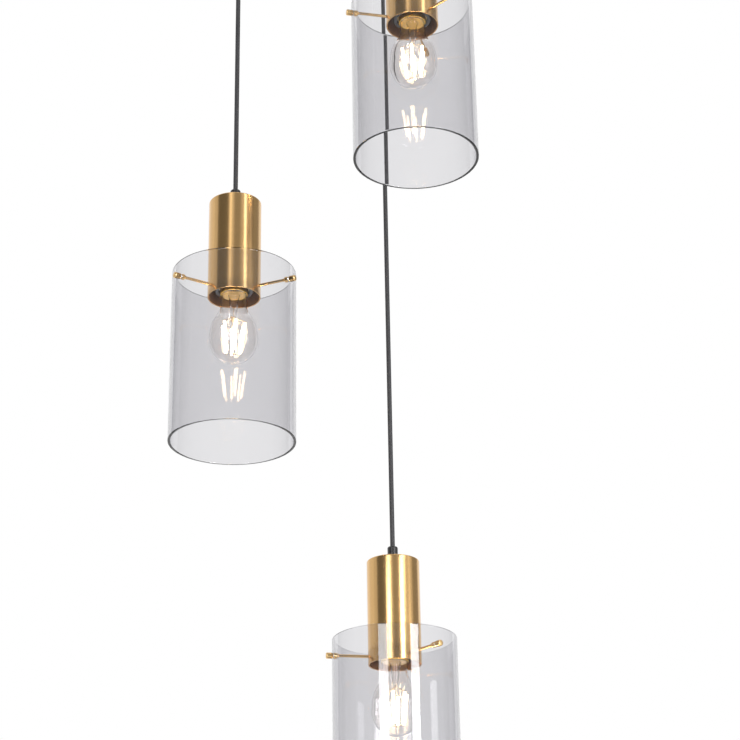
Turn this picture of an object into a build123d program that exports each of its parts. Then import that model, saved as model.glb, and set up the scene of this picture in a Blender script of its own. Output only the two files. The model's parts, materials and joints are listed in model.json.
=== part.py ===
"""Three-light cluster pendant: open smoked-glass cylinders on brass caps, hung from one round ceiling canopy.

Millimetres, +Z up. The origin is the middle of the ceiling face of the mounting bracket, so everything hangs
below z = 0. Each pendant is modelled about its own axis with its zero height at the upper rim of the glass,
and then set in its place under the canopy.
"""
from build123d import *
import math
import os

# ---- the cluster ----
CLUSTER_RADIUS = 110.0        # canopy centre to each cord
PLACES = {                    # turn of the cord round the canopy, drop to the glass rim, turn of the first rod
    "short": (-60.0, 350.0, 185.0),
    "middle": (180.0, 610.0, 207.0),
    "long": (60.0, 943.0, 181.5),
}

# ---- cord ----
CORD_RADIUS = 2.3
CORD_CLEARANCE = 0.1          # bore of a grip round the cord
CORD_IN_GRIP = 5.0            # how far the cord enters the grip on the cap

# ---- glass cylinder ----
GLASS_RADIUS = 60.0
GLASS_WALL = 2.5
GLASS_HEIGHT = 174.0
GLASS_EDGE = 0.9              # fire-polished rounding of both rims

# ---- brass cap ----
CAP_RADIUS = 25.6
CAP_WALL = 1.2
CAP_PLATE = 1.5
CAP_TOP = 78.0
CAP_BOTTOM = -25.0
CAP_EDGE = 1.2

# ---- cord grip on the cap, its nuts and the tube below it ----
GRIP_HEIGHT = 15.0
GRIP_RADIUS = 5.1
GRIP_FOOT_RADIUS = 5.7
GRIP_FOOT_HEIGHT = 2.5
GRIP_NOSE_ROUND = 1.6
THREAD_RADIUS = 4.9           # M10 thread, as a plain shank
THREAD_HOLE = 5.05
WIRE_BORE = 3.3
GRIP_SHANK = 12.0
NUT_WIDTH = 14.0              # across flats
NUT_HEIGHT = 3.0
TUBE_RADIUS = 6.5

# ---- three rods that carry the glass ----
ROD_COUNT = 3
ROD_HEIGHT = -17.5            # rod axis, below the glass rim
ROD_RADIUS = 1.4
ROD_SQUEEZE = 0.05            # tapped holes are this much smaller than the rod's thread
ROD_INNER_END = 21.6
ROD_OUTER_END = 65.0
COLLAR_RADIUS = 2.7
COLLAR_LENGTH = 3.0
SPIGOT_RADIUS = 2.0
GLASS_HOLE_RADIUS = 2.2
KNOB_RADIUS = 2.95
KNOB_LENGTH = 6.5
KNOB_EDGE = 0.7

# ---- lampholder, E27 ----
HOLDER_RADIUS = 19.0
HOLDER_WALL = 1.3
HOLDER_MOUTH = -19.0
HOLDER_LIP_RADIUS = 15.0
HOLDER_LIP_HEIGHT = 1.6
HOLDER_JOINT = 12.0           # where skirt and dome meet
DOME_SHOULDER = 22.0
DOME_TOP = 34.0
DOME_NECK_RADIUS = 9.0
CORE_RADIUS = 16.0
CORE_BOTTOM = 8.8
CORE_TOP = 17.0
SCREW_SHELL_RADIUS = 13.45    # smallest inner radius of the threaded shell
SCREW_SHELL_WALL = 0.6
SCREW_SHELL_BOTTOM = -16.5

# ---- bulb, E27 base, clear glass ----
THREAD_PITCH = 3.629
BASE_RADIUS = 13.05
BASE_ROOT_RADIUS = 12.2
BASE_BOTTOM = -22.0
BASE_THREADS = 5
BASE_COLLAR = 4.0
BASE_WALL = 0.7
LEAD_HOLE_RADIUS = 2.0
INSULATOR_TOP = 5.5
CONTACT_RADIUS = 4.6
CONTACT_HEIGHT = 1.5
BULB_RADIUS = 23.3
BULB_CENTRE = -70.0
BULB_WALL = 0.7
BULB_NECK_RADIUS = 12.3
BULB_CONE_ANGLE = 76.0        # from the crown, where the cone of the neck runs into the ball
STEM_RADIUS = 4.3
STEM_BOTTOM = -45.0
FILAMENT_COUNT = 6
FILAMENT_TURN = 8.0           # of the first stick, from the first rod
FILAMENT_RADIUS = 0.9
FILAMENT_TOP = (11.5, -52.0)  # radius and height of a stick's upper end
FILAMENT_BOTTOM = (7.5, -83.0)
SUPPORT_RADIUS = 0.35         # wires that carry the sticks
BEAD_RADIUS = 0.9

# ---- canopy ----
CANOPY_RADIUS = 140.0
CANOPY_DEPTH = 25.0
CANOPY_WALL = 1.0
CANOPY_EDGE = 3.0
NOSE_LENGTH = 12.0            # canopy grip below the canopy
NOSE_RADIUS = 5.8
NOSE_FOOT_RADIUS = 7.0
NOSE_FOOT_HEIGHT = 2.5
MOUTH_DEPTH = 2.5             # from the nose's end up to the point that the cord swings about
MOUTH_RADII = (2.75, 3.3)
MOUTH_GAP = 0.3               # room above the swinging stretch of cord
NOSE_SHANK = 8.0
CANOPY_NUT_WIDTH = 15.0
BRACKET_WIDTH = 25.0
BRACKET_THICK = 2.0
BRACKET_HALF_LENGTH = 138.2
BRACKET_FLANGE = 16.0
SLOT_SPACING = 90.0
SLOT_LENGTH = 25.0
SLOT_RADIUS = 2.5
SIDE_SCREW_HEIGHT = -9.0
SIDE_SCREW_RADIUS = 2.0
SIDE_SCREW_INNER_END = 131.0
SIDE_SCREW_HEAD = (4.5, 4.5)  # radius, length
BLOCK_SIZE = (18.0, 34.0, 14.0)
BLOCK_POLES = 3
BLOCK_PITCH = 10.0
BLOCK_SCREW_OFFSET = 4.5
BLOCK_SCREW_RADIUS = 1.8
BLOCK_WELL_RADIUS = 2.4
BLOCK_WELL_DEPTH = 4.0
EARTH_SCREW_PLACE = 24.0      # along the bracket from its middle
EARTH_SCREW_RADIUS = 2.0
EARTH_HEAD = (3.8, 2.4)       # radius, height
EARTH_WASHER = (5.2, 0.8)
TAIL_HEIGHT = -7.2            # height at which a cord's tail runs through the canopy
TAIL_BULGE = 9.0              # sideways, half way to the terminal block

CANOPY_BOTTOM = -CANOPY_DEPTH
NOSE_END = CANOPY_BOTTOM - NOSE_LENGTH
SWING_HEIGHT = NOSE_END + MOUTH_DEPTH
GRIP_TOP = CAP_TOP + GRIP_HEIGHT
GLASS_INNER_RADIUS = GLASS_RADIUS - GLASS_WALL


def cylinder(radius, low, high):
    """A solid cylinder about the Z axis between two heights."""
    return Pos(0, 0, low) * Cylinder(radius, high - low, align=(Align.CENTER, Align.CENTER, Align.MIN))


def ring(outer, inner, low, high):
    """A plain tube about the Z axis between two heights."""
    return cylinder(outer, low, high) - cylinder(inner, low, high)


def turned(profile):
    """A solid turned about the Z axis from the corners of its half section, given as radius and height."""
    corners = [(radius, 0, height) for radius, height in profile]
    return revolve(make_face(Polyline(*corners, close=True)), Axis.Z)


def bar(radius, start, end):
    """A round bar along +X at the height of the rods, from one distance out to another."""
    return Pos(0, 0, ROD_HEIGHT) * Rot(0, 90, 0) * cylinder(radius, start, end)


def thimble(radius, start, end):
    """A round bar with both ends softened, like a small knob."""
    return fillet(bar(radius, start, end).edges().filter_by(GeomType.CIRCLE), KNOB_EDGE)


def around(piece, count, first=0.0):
    """Copies of a piece turned evenly round the Z axis."""
    return [Rot(0, 0, first + 360 * i / count) * piece for i in range(count)]


def hex_nut(width, height, low):
    """A hexagon nut with a clearance bore, standing on a given height."""
    flat_to_flat = RegularPolygon(width / 2, 6, major_radius=False)
    return Pos(0, 0, low) * extrude(flat_to_flat, height) - cylinder(THREAD_RADIUS + 0.1, low, low + height)


# ---------------------------------------------------------------- pendant

def glass_shade():
    """Open glass cylinder with polished rims and one hole for each rod."""
    tube = ring(GLASS_RADIUS, GLASS_INNER_RADIUS, -GLASS_HEIGHT, 0)
    tube = fillet(tube.edges().filter_by(GeomType.CIRCLE), GLASS_EDGE)
    hole = bar(GLASS_HOLE_RADIUS, GLASS_INNER_RADIUS - 5, GLASS_RADIUS + 5)
    for one in around(hole, ROD_COUNT):
        tube -= one
    return tube


def cap():
    """Deep brass cup, closed above, with a central hole for the grip and three tapped holes for the rods."""
    shell = fillet(cylinder(CAP_RADIUS, CAP_BOTTOM, CAP_TOP).edges().sort_by(Axis.Z)[-1], CAP_EDGE)
    shell -= cylinder(CAP_RADIUS - CAP_WALL, CAP_BOTTOM, CAP_TOP - CAP_PLATE)
    shell -= cylinder(THREAD_HOLE, CAP_TOP - CAP_PLATE, CAP_TOP)
    hole = bar(ROD_RADIUS - ROD_SQUEEZE, CAP_RADIUS - 4, CAP_RADIUS + 2)
    for one in around(hole, ROD_COUNT):
        shell -= one
    return shell


def strain_relief():
    """Nylon cord grip on the cap: a foot, a slim rounded body and a threaded shank through the cap."""
    foot = cylinder(GRIP_FOOT_RADIUS, CAP_TOP, CAP_TOP + GRIP_FOOT_HEIGHT)
    body = cylinder(GRIP_RADIUS, CAP_TOP + GRIP_FOOT_HEIGHT, GRIP_TOP)
    body = fillet(body.edges().sort_by(Axis.Z)[-1], GRIP_NOSE_ROUND)
    grip = foot + body + cylinder(THREAD_RADIUS, CAP_TOP - GRIP_SHANK, CAP_TOP)
    grip -= cylinder(CORD_RADIUS + CORD_CLEARANCE, GRIP_TOP - CORD_IN_GRIP, GRIP_TOP)
    grip -= cylinder(WIRE_BORE / 2, CAP_TOP - GRIP_SHANK, GRIP_TOP - CORD_IN_GRIP)
    return grip


def lock_nuts():
    """Two M10 nuts: one under the cap's plate, one on the dome of the lampholder."""
    under_plate = hex_nut(NUT_WIDTH, NUT_HEIGHT, CAP_TOP - CAP_PLATE - NUT_HEIGHT)
    on_dome = hex_nut(NUT_WIDTH, NUT_HEIGHT, DOME_TOP)
    return [under_plate, on_dome]


def spacer_tube():
    """Threaded tube that carries the lampholder at its depth in the cap."""
    return ring(TUBE_RADIUS, THREAD_RADIUS + 0.1, DOME_TOP + NUT_HEIGHT, CAP_TOP - CAP_PLATE - NUT_HEIGHT)


def rod():
    """Turned brass rod: a threaded root in the cap, a collar inside the glass and a spigot through it."""
    collar_end = GLASS_INNER_RADIUS - 0.1
    slim = bar(ROD_RADIUS, ROD_INNER_END, ROD_OUTER_END)
    collar = bar(COLLAR_RADIUS, collar_end - COLLAR_LENGTH, collar_end)
    return slim + collar + bar(SPIGOT_RADIUS, collar_end, GLASS_RADIUS)


def rod_knob():
    """Round knob screwed on the outer end of a rod, against the glass."""
    start = GLASS_RADIUS + 0.05
    knob = thimble(KNOB_RADIUS, start, start + KNOB_LENGTH)
    return knob - bar(ROD_RADIUS, start, ROD_OUTER_END)


def holder_skirt():
    """Lower shell of the lampholder, with a lip turned in round its mouth."""
    skirt = cylinder(HOLDER_RADIUS, HOLDER_MOUTH, HOLDER_JOINT)
    skirt = fillet(skirt.edges().sort_by(Axis.Z)[0], HOLDER_WALL - 0.3)
    skirt -= cylinder(HOLDER_RADIUS - HOLDER_WALL, HOLDER_MOUTH + HOLDER_LIP_HEIGHT, HOLDER_JOINT)
    return skirt - cylinder(HOLDER_LIP_RADIUS, HOLDER_MOUTH, HOLDER_MOUTH + HOLDER_LIP_HEIGHT)


def holder_dome():
    """Upper shell of the lampholder: a shouldered dome with a threaded neck."""
    inner = HOLDER_RADIUS - 2.0
    neck_end = DOME_TOP + 10.0
    return turned([
        (inner, HOLDER_JOINT), (HOLDER_RADIUS, HOLDER_JOINT), (HOLDER_RADIUS, DOME_SHOULDER),
        (HOLDER_RADIUS - 3, DOME_SHOULDER + 4), (DOME_NECK_RADIUS, DOME_SHOULDER + 8),
        (DOME_NECK_RADIUS, DOME_TOP), (THREAD_RADIUS, DOME_TOP), (THREAD_RADIUS, neck_end),
        (WIRE_BORE, neck_end), (WIRE_BORE, DOME_SHOULDER + 6), (DOME_NECK_RADIUS - 2, DOME_SHOULDER + 6),
        (inner - 3, DOME_SHOULDER + 2), (inner, DOME_SHOULDER),
    ])


def holder_core():
    """Ceramic core with its central contact, clamped between the two shells."""
    core = cylinder(CORE_RADIUS, CORE_BOTTOM, CORE_TOP)
    core += cylinder(HOLDER_RADIUS - HOLDER_WALL, HOLDER_JOINT - 2, HOLDER_JOINT)
    return core + cylinder(CONTACT_RADIUS, INSULATOR_TOP + CONTACT_HEIGHT, CORE_BOTTOM)


def holder_screw_shell():
    """Thin brass shell that takes the bulb's thread, rolled in rings of the thread's pitch."""
    inside = [(SCREW_SHELL_RADIUS, SCREW_SHELL_BOTTOM)]
    height = SCREW_SHELL_BOTTOM + THREAD_PITCH / 2
    while height < CORE_BOTTOM - THREAD_PITCH / 2:
        inside.append((SCREW_SHELL_RADIUS + 0.6, height))
        inside.append((SCREW_SHELL_RADIUS, height + THREAD_PITCH / 2))
        height += THREAD_PITCH
    inside.append((SCREW_SHELL_RADIUS, CORE_BOTTOM))
    outside = [(radius + SCREW_SHELL_WALL, height) for radius, height in reversed(inside)]
    return turned(inside + outside)


def bulb_base():
    """Screw base of the bulb: a thin shell with collar and rolled thread, its insulator pierced for the lead."""
    profile = [(0, BASE_BOTTOM), (BASE_RADIUS, BASE_BOTTOM), (BASE_RADIUS, BASE_BOTTOM + BASE_COLLAR)]
    height = BASE_BOTTOM + BASE_COLLAR
    for _ in range(BASE_THREADS):
        profile.append((BASE_ROOT_RADIUS, height + THREAD_PITCH / 2))
        profile.append((BASE_RADIUS, height + THREAD_PITCH))
        height += THREAD_PITCH
    profile += [(BASE_ROOT_RADIUS - 1, height + 1.5), (CONTACT_RADIUS + 1.5, INSULATOR_TOP), (0, INSULATOR_TOP)]
    inside = cylinder(BASE_ROOT_RADIUS - BASE_WALL, BASE_BOTTOM + BASE_WALL, height - 1)
    return turned(profile) - inside - cylinder(LEAD_HOLE_RADIUS, height - 1, INSULATOR_TOP)


def bulb_contact():
    """Soldered tip on top of the bulb's insulator."""
    tip = cylinder(CONTACT_RADIUS, INSULATOR_TOP, INSULATOR_TOP + CONTACT_HEIGHT)
    return fillet(tip.edges().sort_by(Axis.Z)[-1], 0.6)


def bulb_body(inset, neck_top, floor=()):
    """The bulb's outer form, or with an inset its cavity, whose top may carry further corners."""
    radius = BULB_RADIUS - inset
    angle = math.radians(BULB_CONE_ANGLE)
    join = (radius * math.sin(angle), BULB_CENTRE + radius * math.cos(angle))
    neck = (BULB_NECK_RADIUS - inset, neck_top)
    waist = (BULB_NECK_RADIUS - inset + 2.2, BASE_BOTTOM - 11.0)
    cone = Spline(
        (neck[0], 0, neck[1]), (waist[0], 0, waist[1]), (join[0], 0, join[1]),
        tangents=((0, 0, -1), (math.cos(angle), 0, -math.sin(angle))),
    )
    half = math.radians(BULB_CONE_ANGLE + (180 - BULB_CONE_ANGLE) / 2)
    middle = (radius * math.sin(half), 0, BULB_CENTRE + radius * math.cos(half))
    ball = ThreePointArc((join[0], 0, join[1]), middle, (0, 0, BULB_CENTRE - radius))
    top = [(0, 0, neck_top)]
    if floor:
        top = [(r, 0, z) for r, z in floor]
    closing = Polyline((0, 0, BULB_CENTRE - radius), *top, (neck[0], 0, neck[1]))
    return revolve(make_face(Curve() + cone + ball + closing), Axis.Z)


def bulb_globe():
    """Blown glass: neck, cone and ball in one, with the stem fused in the neck."""
    flare = BASE_BOTTOM - 1.0
    stem = [
        (0, STEM_BOTTOM), (STEM_RADIUS * 0.6, STEM_BOTTOM + 1.5), (STEM_RADIUS * 0.8, STEM_BOTTOM + 6),
        (STEM_RADIUS, flare - 4), (STEM_RADIUS + 1.5, flare - 1), (STEM_RADIUS + 5, flare - 0.3),
    ]
    return bulb_body(0, BASE_BOTTOM) - bulb_body(BULB_WALL, flare, stem)


def bulb_filaments():
    """Light sticks in a slightly drawn-in cage, wired to a bead under the stem and to a bead below them."""
    top_radius, top_height = FILAMENT_TOP
    low_radius, low_height = FILAMENT_BOTTOM
    upper_bead = Vector(0, 0, STEM_BOTTOM - BEAD_RADIUS)
    lower_bead = Vector(0, 0, low_height - BEAD_RADIUS)
    cage = [Pos(*upper_bead) * Sphere(BEAD_RADIUS), Pos(*lower_bead) * Sphere(BEAD_RADIUS)]
    for turn in range(FILAMENT_COUNT):
        angle = math.radians(FILAMENT_TURN + 360 * turn / FILAMENT_COUNT)
        upper = Vector(top_radius * math.cos(angle), top_radius * math.sin(angle), top_height)
        lower = Vector(low_radius * math.cos(angle), low_radius * math.sin(angle), low_height)
        along = (lower - upper).normalized() * FILAMENT_RADIUS
        cage.append(round_rod(upper, lower, FILAMENT_RADIUS))
        cage.append(round_rod(upper_bead, upper + along, SUPPORT_RADIUS))
        cage.append(round_rod(lower - along, lower_bead, SUPPORT_RADIUS))
    return cage[0].fuse(*cage[1:])


def round_rod(start, end, radius):
    """A round rod from one point to another."""
    run = end - start
    return extrude(Plane(origin=start, z_dir=run) * Circle(radius), run.length)


# ---------------------------------------------------------------- canopy

def cord_places():
    """Name, place and drop of each cord, in the order of the table above."""
    for name, (turn, drop, rod_turn) in PLACES.items():
        angle = math.radians(turn)
        yield name, CLUSTER_RADIUS * math.cos(angle), CLUSTER_RADIUS * math.sin(angle), drop, rod_turn


def canopy_cup():
    """Shallow pressed cup against the ceiling, with a hole for each cord grip and two for the side screws."""
    cup = fillet(cylinder(CANOPY_RADIUS, CANOPY_BOTTOM, 0).edges().sort_by(Axis.Z)[0], CANOPY_EDGE)
    inside = cylinder(CANOPY_RADIUS - CANOPY_WALL, CANOPY_BOTTOM + CANOPY_WALL, 0)
    cup -= fillet(inside.edges().sort_by(Axis.Z)[0], CANOPY_EDGE - CANOPY_WALL)
    for _, x, y, _, _ in cord_places():
        cup -= Pos(x, y, 0) * cylinder(THREAD_HOLE, CANOPY_BOTTOM, CANOPY_BOTTOM + CANOPY_WALL)
    for one in side_screws(SIDE_SCREW_RADIUS + 0.15, CANOPY_RADIUS - 5, CANOPY_RADIUS + 5):
        cup -= one
    return cup


def side_screws(radius, start, end):
    """Two opposite round bars along Y at the height of the side screws."""
    one = Pos(0, 0, SIDE_SCREW_HEIGHT) * Rot(-90, 0, 0) * cylinder(radius, start, end)
    return around(one, 2)


def canopy_screws():
    """Two thumb screws through the cup's wall into the bracket's turned-down ends."""
    head_radius, head_length = SIDE_SCREW_HEAD
    shanks = side_screws(SIDE_SCREW_RADIUS, SIDE_SCREW_INNER_END, CANOPY_RADIUS + 1)
    heads = side_screws(head_radius, CANOPY_RADIUS + 0.1, CANOPY_RADIUS + head_length)
    rounded = [fillet(head.edges().filter_by(GeomType.CIRCLE), 0.8) for head in heads]
    return [shank + head for shank, head in zip(shanks, rounded)]


def mounting_bracket():
    """Steel strip across the ceiling with two slots, its ends turned down for the side screws."""
    strip = Pos(0, 0, -BRACKET_THICK / 2) * Box(BRACKET_WIDTH, 2 * BRACKET_HALF_LENGTH, BRACKET_THICK)
    end = Box(BRACKET_WIDTH, BRACKET_THICK, BRACKET_FLANGE)
    for side in (-1, 1):
        place = side * (BRACKET_HALF_LENGTH - BRACKET_THICK / 2)
        strip += Pos(0, place, -BRACKET_FLANGE / 2) * end
    slot = extrude(Rot(0, 0, 90) * SlotOverall(SLOT_LENGTH, 2 * SLOT_RADIUS), -BRACKET_THICK)
    for side in (-1, 1):
        strip -= Pos(0, side * SLOT_SPACING / 2, 0) * slot
    for one in side_screws(SIDE_SCREW_RADIUS - ROD_SQUEEZE, BRACKET_HALF_LENGTH - 5, BRACKET_HALF_LENGTH + 2):
        strip -= one
    hole = cylinder(EARTH_SCREW_RADIUS - ROD_SQUEEZE, -BRACKET_THICK, 0)
    return strip - Pos(0, EARTH_SCREW_PLACE, 0) * hole


def earth_screw():
    """Pan-head screw and washer for the protective earth, in the bracket from below."""
    head_radius, head_height = EARTH_HEAD
    washer_radius, washer_height = EARTH_WASHER
    under = -BRACKET_THICK
    head = cylinder(head_radius, under - washer_height - head_height, under - washer_height)
    head = fillet(head.edges().sort_by(Axis.Z)[0], 1.2)
    slot = Box(0.9, 3 * head_radius, 1.6)
    head -= Pos(0, 0, under - washer_height - head_height) * slot
    screw = head + cylinder(washer_radius, under - washer_height, under)
    screw += cylinder(EARTH_SCREW_RADIUS, under, -0.2)
    return Pos(0, EARTH_SCREW_PLACE, 0) * screw


def canopy_grip():
    """Nylon cord grip in the canopy, with a flared mouth that lets the cord swing."""
    narrow, wide = MOUTH_RADII
    bore = CORD_RADIUS + CORD_CLEARANCE
    above = SWING_HEIGHT + MOUTH_GAP
    foot = CANOPY_BOTTOM - NOSE_FOOT_HEIGHT
    return turned([
        (wide, NOSE_END), (NOSE_RADIUS - 1.6, NOSE_END), (NOSE_RADIUS - 0.5, NOSE_END + 0.5),
        (NOSE_RADIUS, NOSE_END + 1.6), (NOSE_RADIUS, foot), (NOSE_FOOT_RADIUS, foot),
        (NOSE_FOOT_RADIUS, CANOPY_BOTTOM), (THREAD_RADIUS, CANOPY_BOTTOM),
        (THREAD_RADIUS, CANOPY_BOTTOM + NOSE_SHANK), (bore, CANOPY_BOTTOM + NOSE_SHANK), (bore, above),
        (narrow, above), (narrow, SWING_HEIGHT),
    ])


def canopy_nut():
    """Hexagon nut that holds a canopy grip from inside."""
    return hex_nut(CANOPY_NUT_WIDTH, NUT_HEIGHT, CANOPY_BOTTOM + CANOPY_WALL)


def terminal_places():
    """Middles of the terminal block's screws, in two rows."""
    for side in (-1, 1):
        for pole in range(BLOCK_POLES):
            yield side * BLOCK_SCREW_OFFSET, (pole - (BLOCK_POLES - 1) / 2) * BLOCK_PITCH


def terminal_block():
    """Moulded block under the bracket with a well for each screw and waists between its poles."""
    width, length, height = BLOCK_SIZE
    top = -BRACKET_THICK
    block = Pos(0, 0, top - height / 2) * Box(width, length, height)
    for x, y in terminal_places():
        block -= Pos(x, y, 0) * cylinder(BLOCK_WELL_RADIUS, top - height, top - height + BLOCK_WELL_DEPTH)
    groove = Box(1.6, 2.0, height)
    for side in (-1, 1):
        for pole in (-0.5, 0.5):
            block -= Pos(side * width / 2, pole * BLOCK_PITCH, top - height / 2) * groove
    return block


def terminal_screws():
    """Slotted clamping screws in the wells of the terminal block."""
    floor = -BRACKET_THICK - BLOCK_SIZE[2] + BLOCK_WELL_DEPTH
    screw = cylinder(BLOCK_SCREW_RADIUS, floor - BLOCK_WELL_DEPTH + 1, floor)
    screw -= Pos(0, 0, floor - BLOCK_WELL_DEPTH + 1) * Box(0.7, 3 * BLOCK_SCREW_RADIUS, 1.4)
    return [Pos(x, y, 0) * screw for x, y in terminal_places()]


def cord_tails():
    """Inner end of each cord: up through its grip, over in a short bend and across to the terminal block."""
    tails = []
    entries = {"short": (1, -1), "middle": (-1, 0), "long": (1, 1)}
    for name, x, y, _, _ in cord_places():
        side, pole = entries[name]
        entry = Vector(side * BLOCK_SIZE[0] / 2, pole * BLOCK_PITCH, TAIL_HEIGHT)
        before = entry + Vector(side * 16, 0, 0)
        corner = Vector(x, y, TAIL_HEIGHT)
        across = before - corner
        aside = Vector(-across.Y, across.X, 0).normalized() * TAIL_BULGE
        bulge = corner + across * 0.45 + aside
        start = Vector(x, y, SWING_HEIGHT + MOUTH_GAP)
        route = [start, corner, bulge, before, entry]
        radii = bend_radii(route)
        path = FilletPolyline(*route, radius=radii)
        tails.append(sweep(Plane(origin=start, z_dir=(0, 0, 1)) * Circle(CORD_RADIUS), path=path))
        print(f"tail {name}: bend radii", ", ".join(f"{r:.1f}" for r in radii))
    return tails


def bend_radii(route):
    """The largest even radius at each corner: 0.45 of the shorter run over the tangent of half the turn."""
    radii = []
    for before, here, after in zip(route, route[1:], route[2:]):
        coming, going = here - before, after - here
        half_turn = math.radians(coming.get_angle(going) / 2)
        radii.append(0.45 * min(coming.length, going.length, 12.0) / math.tan(half_turn))
    return radii


# ---------------------------------------------------------------- writing the pieces

def write(name, pieces):
    """One STEP file for a node; a list becomes separate solids in that node."""
    if not isinstance(pieces, (list, ShapeList)):
        pieces = [pieces]
    solids = [solid for piece in pieces for solid in piece.solids()]
    shape = solids[0] if len(solids) == 1 else Compound(children=solids)
    shape.label = name
    export_step(shape, f"parts/{name}.step")


os.makedirs("parts", exist_ok=True)

PENDANT_PIECES = {
    "glass_shade": glass_shade(),
    "cap": cap(),
    "strain_relief": strain_relief(),
    "lock_nuts": lock_nuts(),
    "spacer_tube": spacer_tube(),
    "rods": around(rod(), ROD_COUNT),
    "rod_knobs": around(rod_knob(), ROD_COUNT),
    "holder_skirt": holder_skirt(),
    "holder_dome": holder_dome(),
    "holder_core": holder_core(),
    "holder_screw_shell": holder_screw_shell(),
    "bulb_base": bulb_base(),
    "bulb_contact": bulb_contact(),
    "bulb_globe": bulb_globe(),
    "bulb_filaments": bulb_filaments(),
}

for cord_name, cord_x, cord_y, cord_drop, first_rod in cord_places():
    pendant = Pos(cord_x, cord_y, -cord_drop) * Rot(0, 0, first_rod)
    for piece_name, made in PENDANT_PIECES.items():
        group = made if isinstance(made, list) else [made]
        write(f"{piece_name}_{cord_name}", [pendant * one for one in group])
    above_pendant = Pos(cord_x, cord_y, 0)
    cord_end = GRIP_TOP - CORD_IN_GRIP - cord_drop
    write(f"cord_bend_{cord_name}", above_pendant * cylinder(CORD_RADIUS, NOSE_END, SWING_HEIGHT))
    write(f"cord_{cord_name}", above_pendant * cylinder(CORD_RADIUS, cord_end, NOSE_END))

write("canopy_cup", canopy_cup())
write("canopy_screws", canopy_screws())
write("mounting_bracket", mounting_bracket())
write("earth_screw", earth_screw())
write("canopy_grips", [Pos(x, y, 0) * canopy_grip() for _, x, y, _, _ in cord_places()])
write("canopy_grip_nuts", [Pos(x, y, 0) * canopy_nut() for _, x, y, _, _ in cord_places()])
write("terminal_block", terminal_block())
write("terminal_screws", terminal_screws())
write("cord_tails", cord_tails())
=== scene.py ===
"""Looks of a three-light cluster pendant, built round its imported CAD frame.

Metres, +Z up, in the frame's own axes. The origin is the middle of the canopy's ceiling face, so everything
hangs below z = 0. Sizes in the classes are millimetres. A pendant's pieces are modelled once about its own axis,
with zero height at the glass's upper rim and the first rod along +X, and a copy of each is then set at each of
the three places.
"""

import json
import logging
import math
from dataclasses import dataclass
from enum import Enum
from typing import Callable, Optional, Sequence, Union

import bmesh
import bpy
from mathutils import Matrix, Vector

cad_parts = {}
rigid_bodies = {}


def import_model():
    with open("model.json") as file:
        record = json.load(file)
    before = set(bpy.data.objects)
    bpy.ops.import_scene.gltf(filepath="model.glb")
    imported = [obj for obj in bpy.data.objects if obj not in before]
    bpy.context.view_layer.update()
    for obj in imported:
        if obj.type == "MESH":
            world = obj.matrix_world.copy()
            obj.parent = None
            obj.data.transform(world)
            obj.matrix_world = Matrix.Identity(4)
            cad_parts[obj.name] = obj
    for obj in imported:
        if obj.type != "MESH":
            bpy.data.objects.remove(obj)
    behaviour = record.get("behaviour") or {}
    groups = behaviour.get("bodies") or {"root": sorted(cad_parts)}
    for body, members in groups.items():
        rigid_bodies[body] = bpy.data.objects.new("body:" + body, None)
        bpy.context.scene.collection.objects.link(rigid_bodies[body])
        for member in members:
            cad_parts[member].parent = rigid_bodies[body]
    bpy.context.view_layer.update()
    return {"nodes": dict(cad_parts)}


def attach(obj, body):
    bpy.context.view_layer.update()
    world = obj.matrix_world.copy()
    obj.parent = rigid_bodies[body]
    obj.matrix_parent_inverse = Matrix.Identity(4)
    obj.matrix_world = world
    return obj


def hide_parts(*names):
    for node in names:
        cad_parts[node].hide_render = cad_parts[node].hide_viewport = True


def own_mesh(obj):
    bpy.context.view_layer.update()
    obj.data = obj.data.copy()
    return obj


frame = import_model()

log = logging.getLogger("cluster_pendant")

MM = 0.001
HAIR = 1e-6                   # points nearer than this are one point

Colour = tuple[float, float, float]
Shape = bpy.types.Object


# ------------------------------------------------------------------ the three places

@dataclass(frozen=True)
class Hanging:
    """Where one pendant hangs.

    Args:
        name: the place's name, as in the frame's bodies.
        turn: turn of its cord round the canopy, in degrees.
        drop: from the ceiling to the glass's upper rim, in mm.
        first_rod: turn of its first rod, in degrees.
        entry: which side and pole of the terminal block its inner end runs to.
    """

    name: str
    turn: float
    drop: float
    first_rod: float
    entry: tuple[int, int]

    ring: float = 110.0

    def spot(self, height: float) -> Vector:
        """The point on this pendant's axis at a height in mm below the ceiling face, in metres."""
        turn = math.radians(self.turn)
        return Vector((self.ring * math.cos(turn), self.ring * math.sin(turn), height)) * MM

    def place(self) -> Matrix:
        """The move from the pendant's own axes to the frame's."""
        return Matrix.Translation(self.spot(-self.drop)) @ Matrix.Rotation(math.radians(self.first_rod), 4, "Z")


class Level(Enum):
    """The three pendants, by the length of their cords."""

    SHORT = Hanging("short", -60.0, 350.0, 185.0, (1, -1))
    MIDDLE = Hanging("middle", 180.0, 610.0, 207.0, (-1, 0))
    LONG = Hanging("long", 60.0, 943.0, 181.5, (1, 1))


# ------------------------------------------------------------------ shader maths

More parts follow.
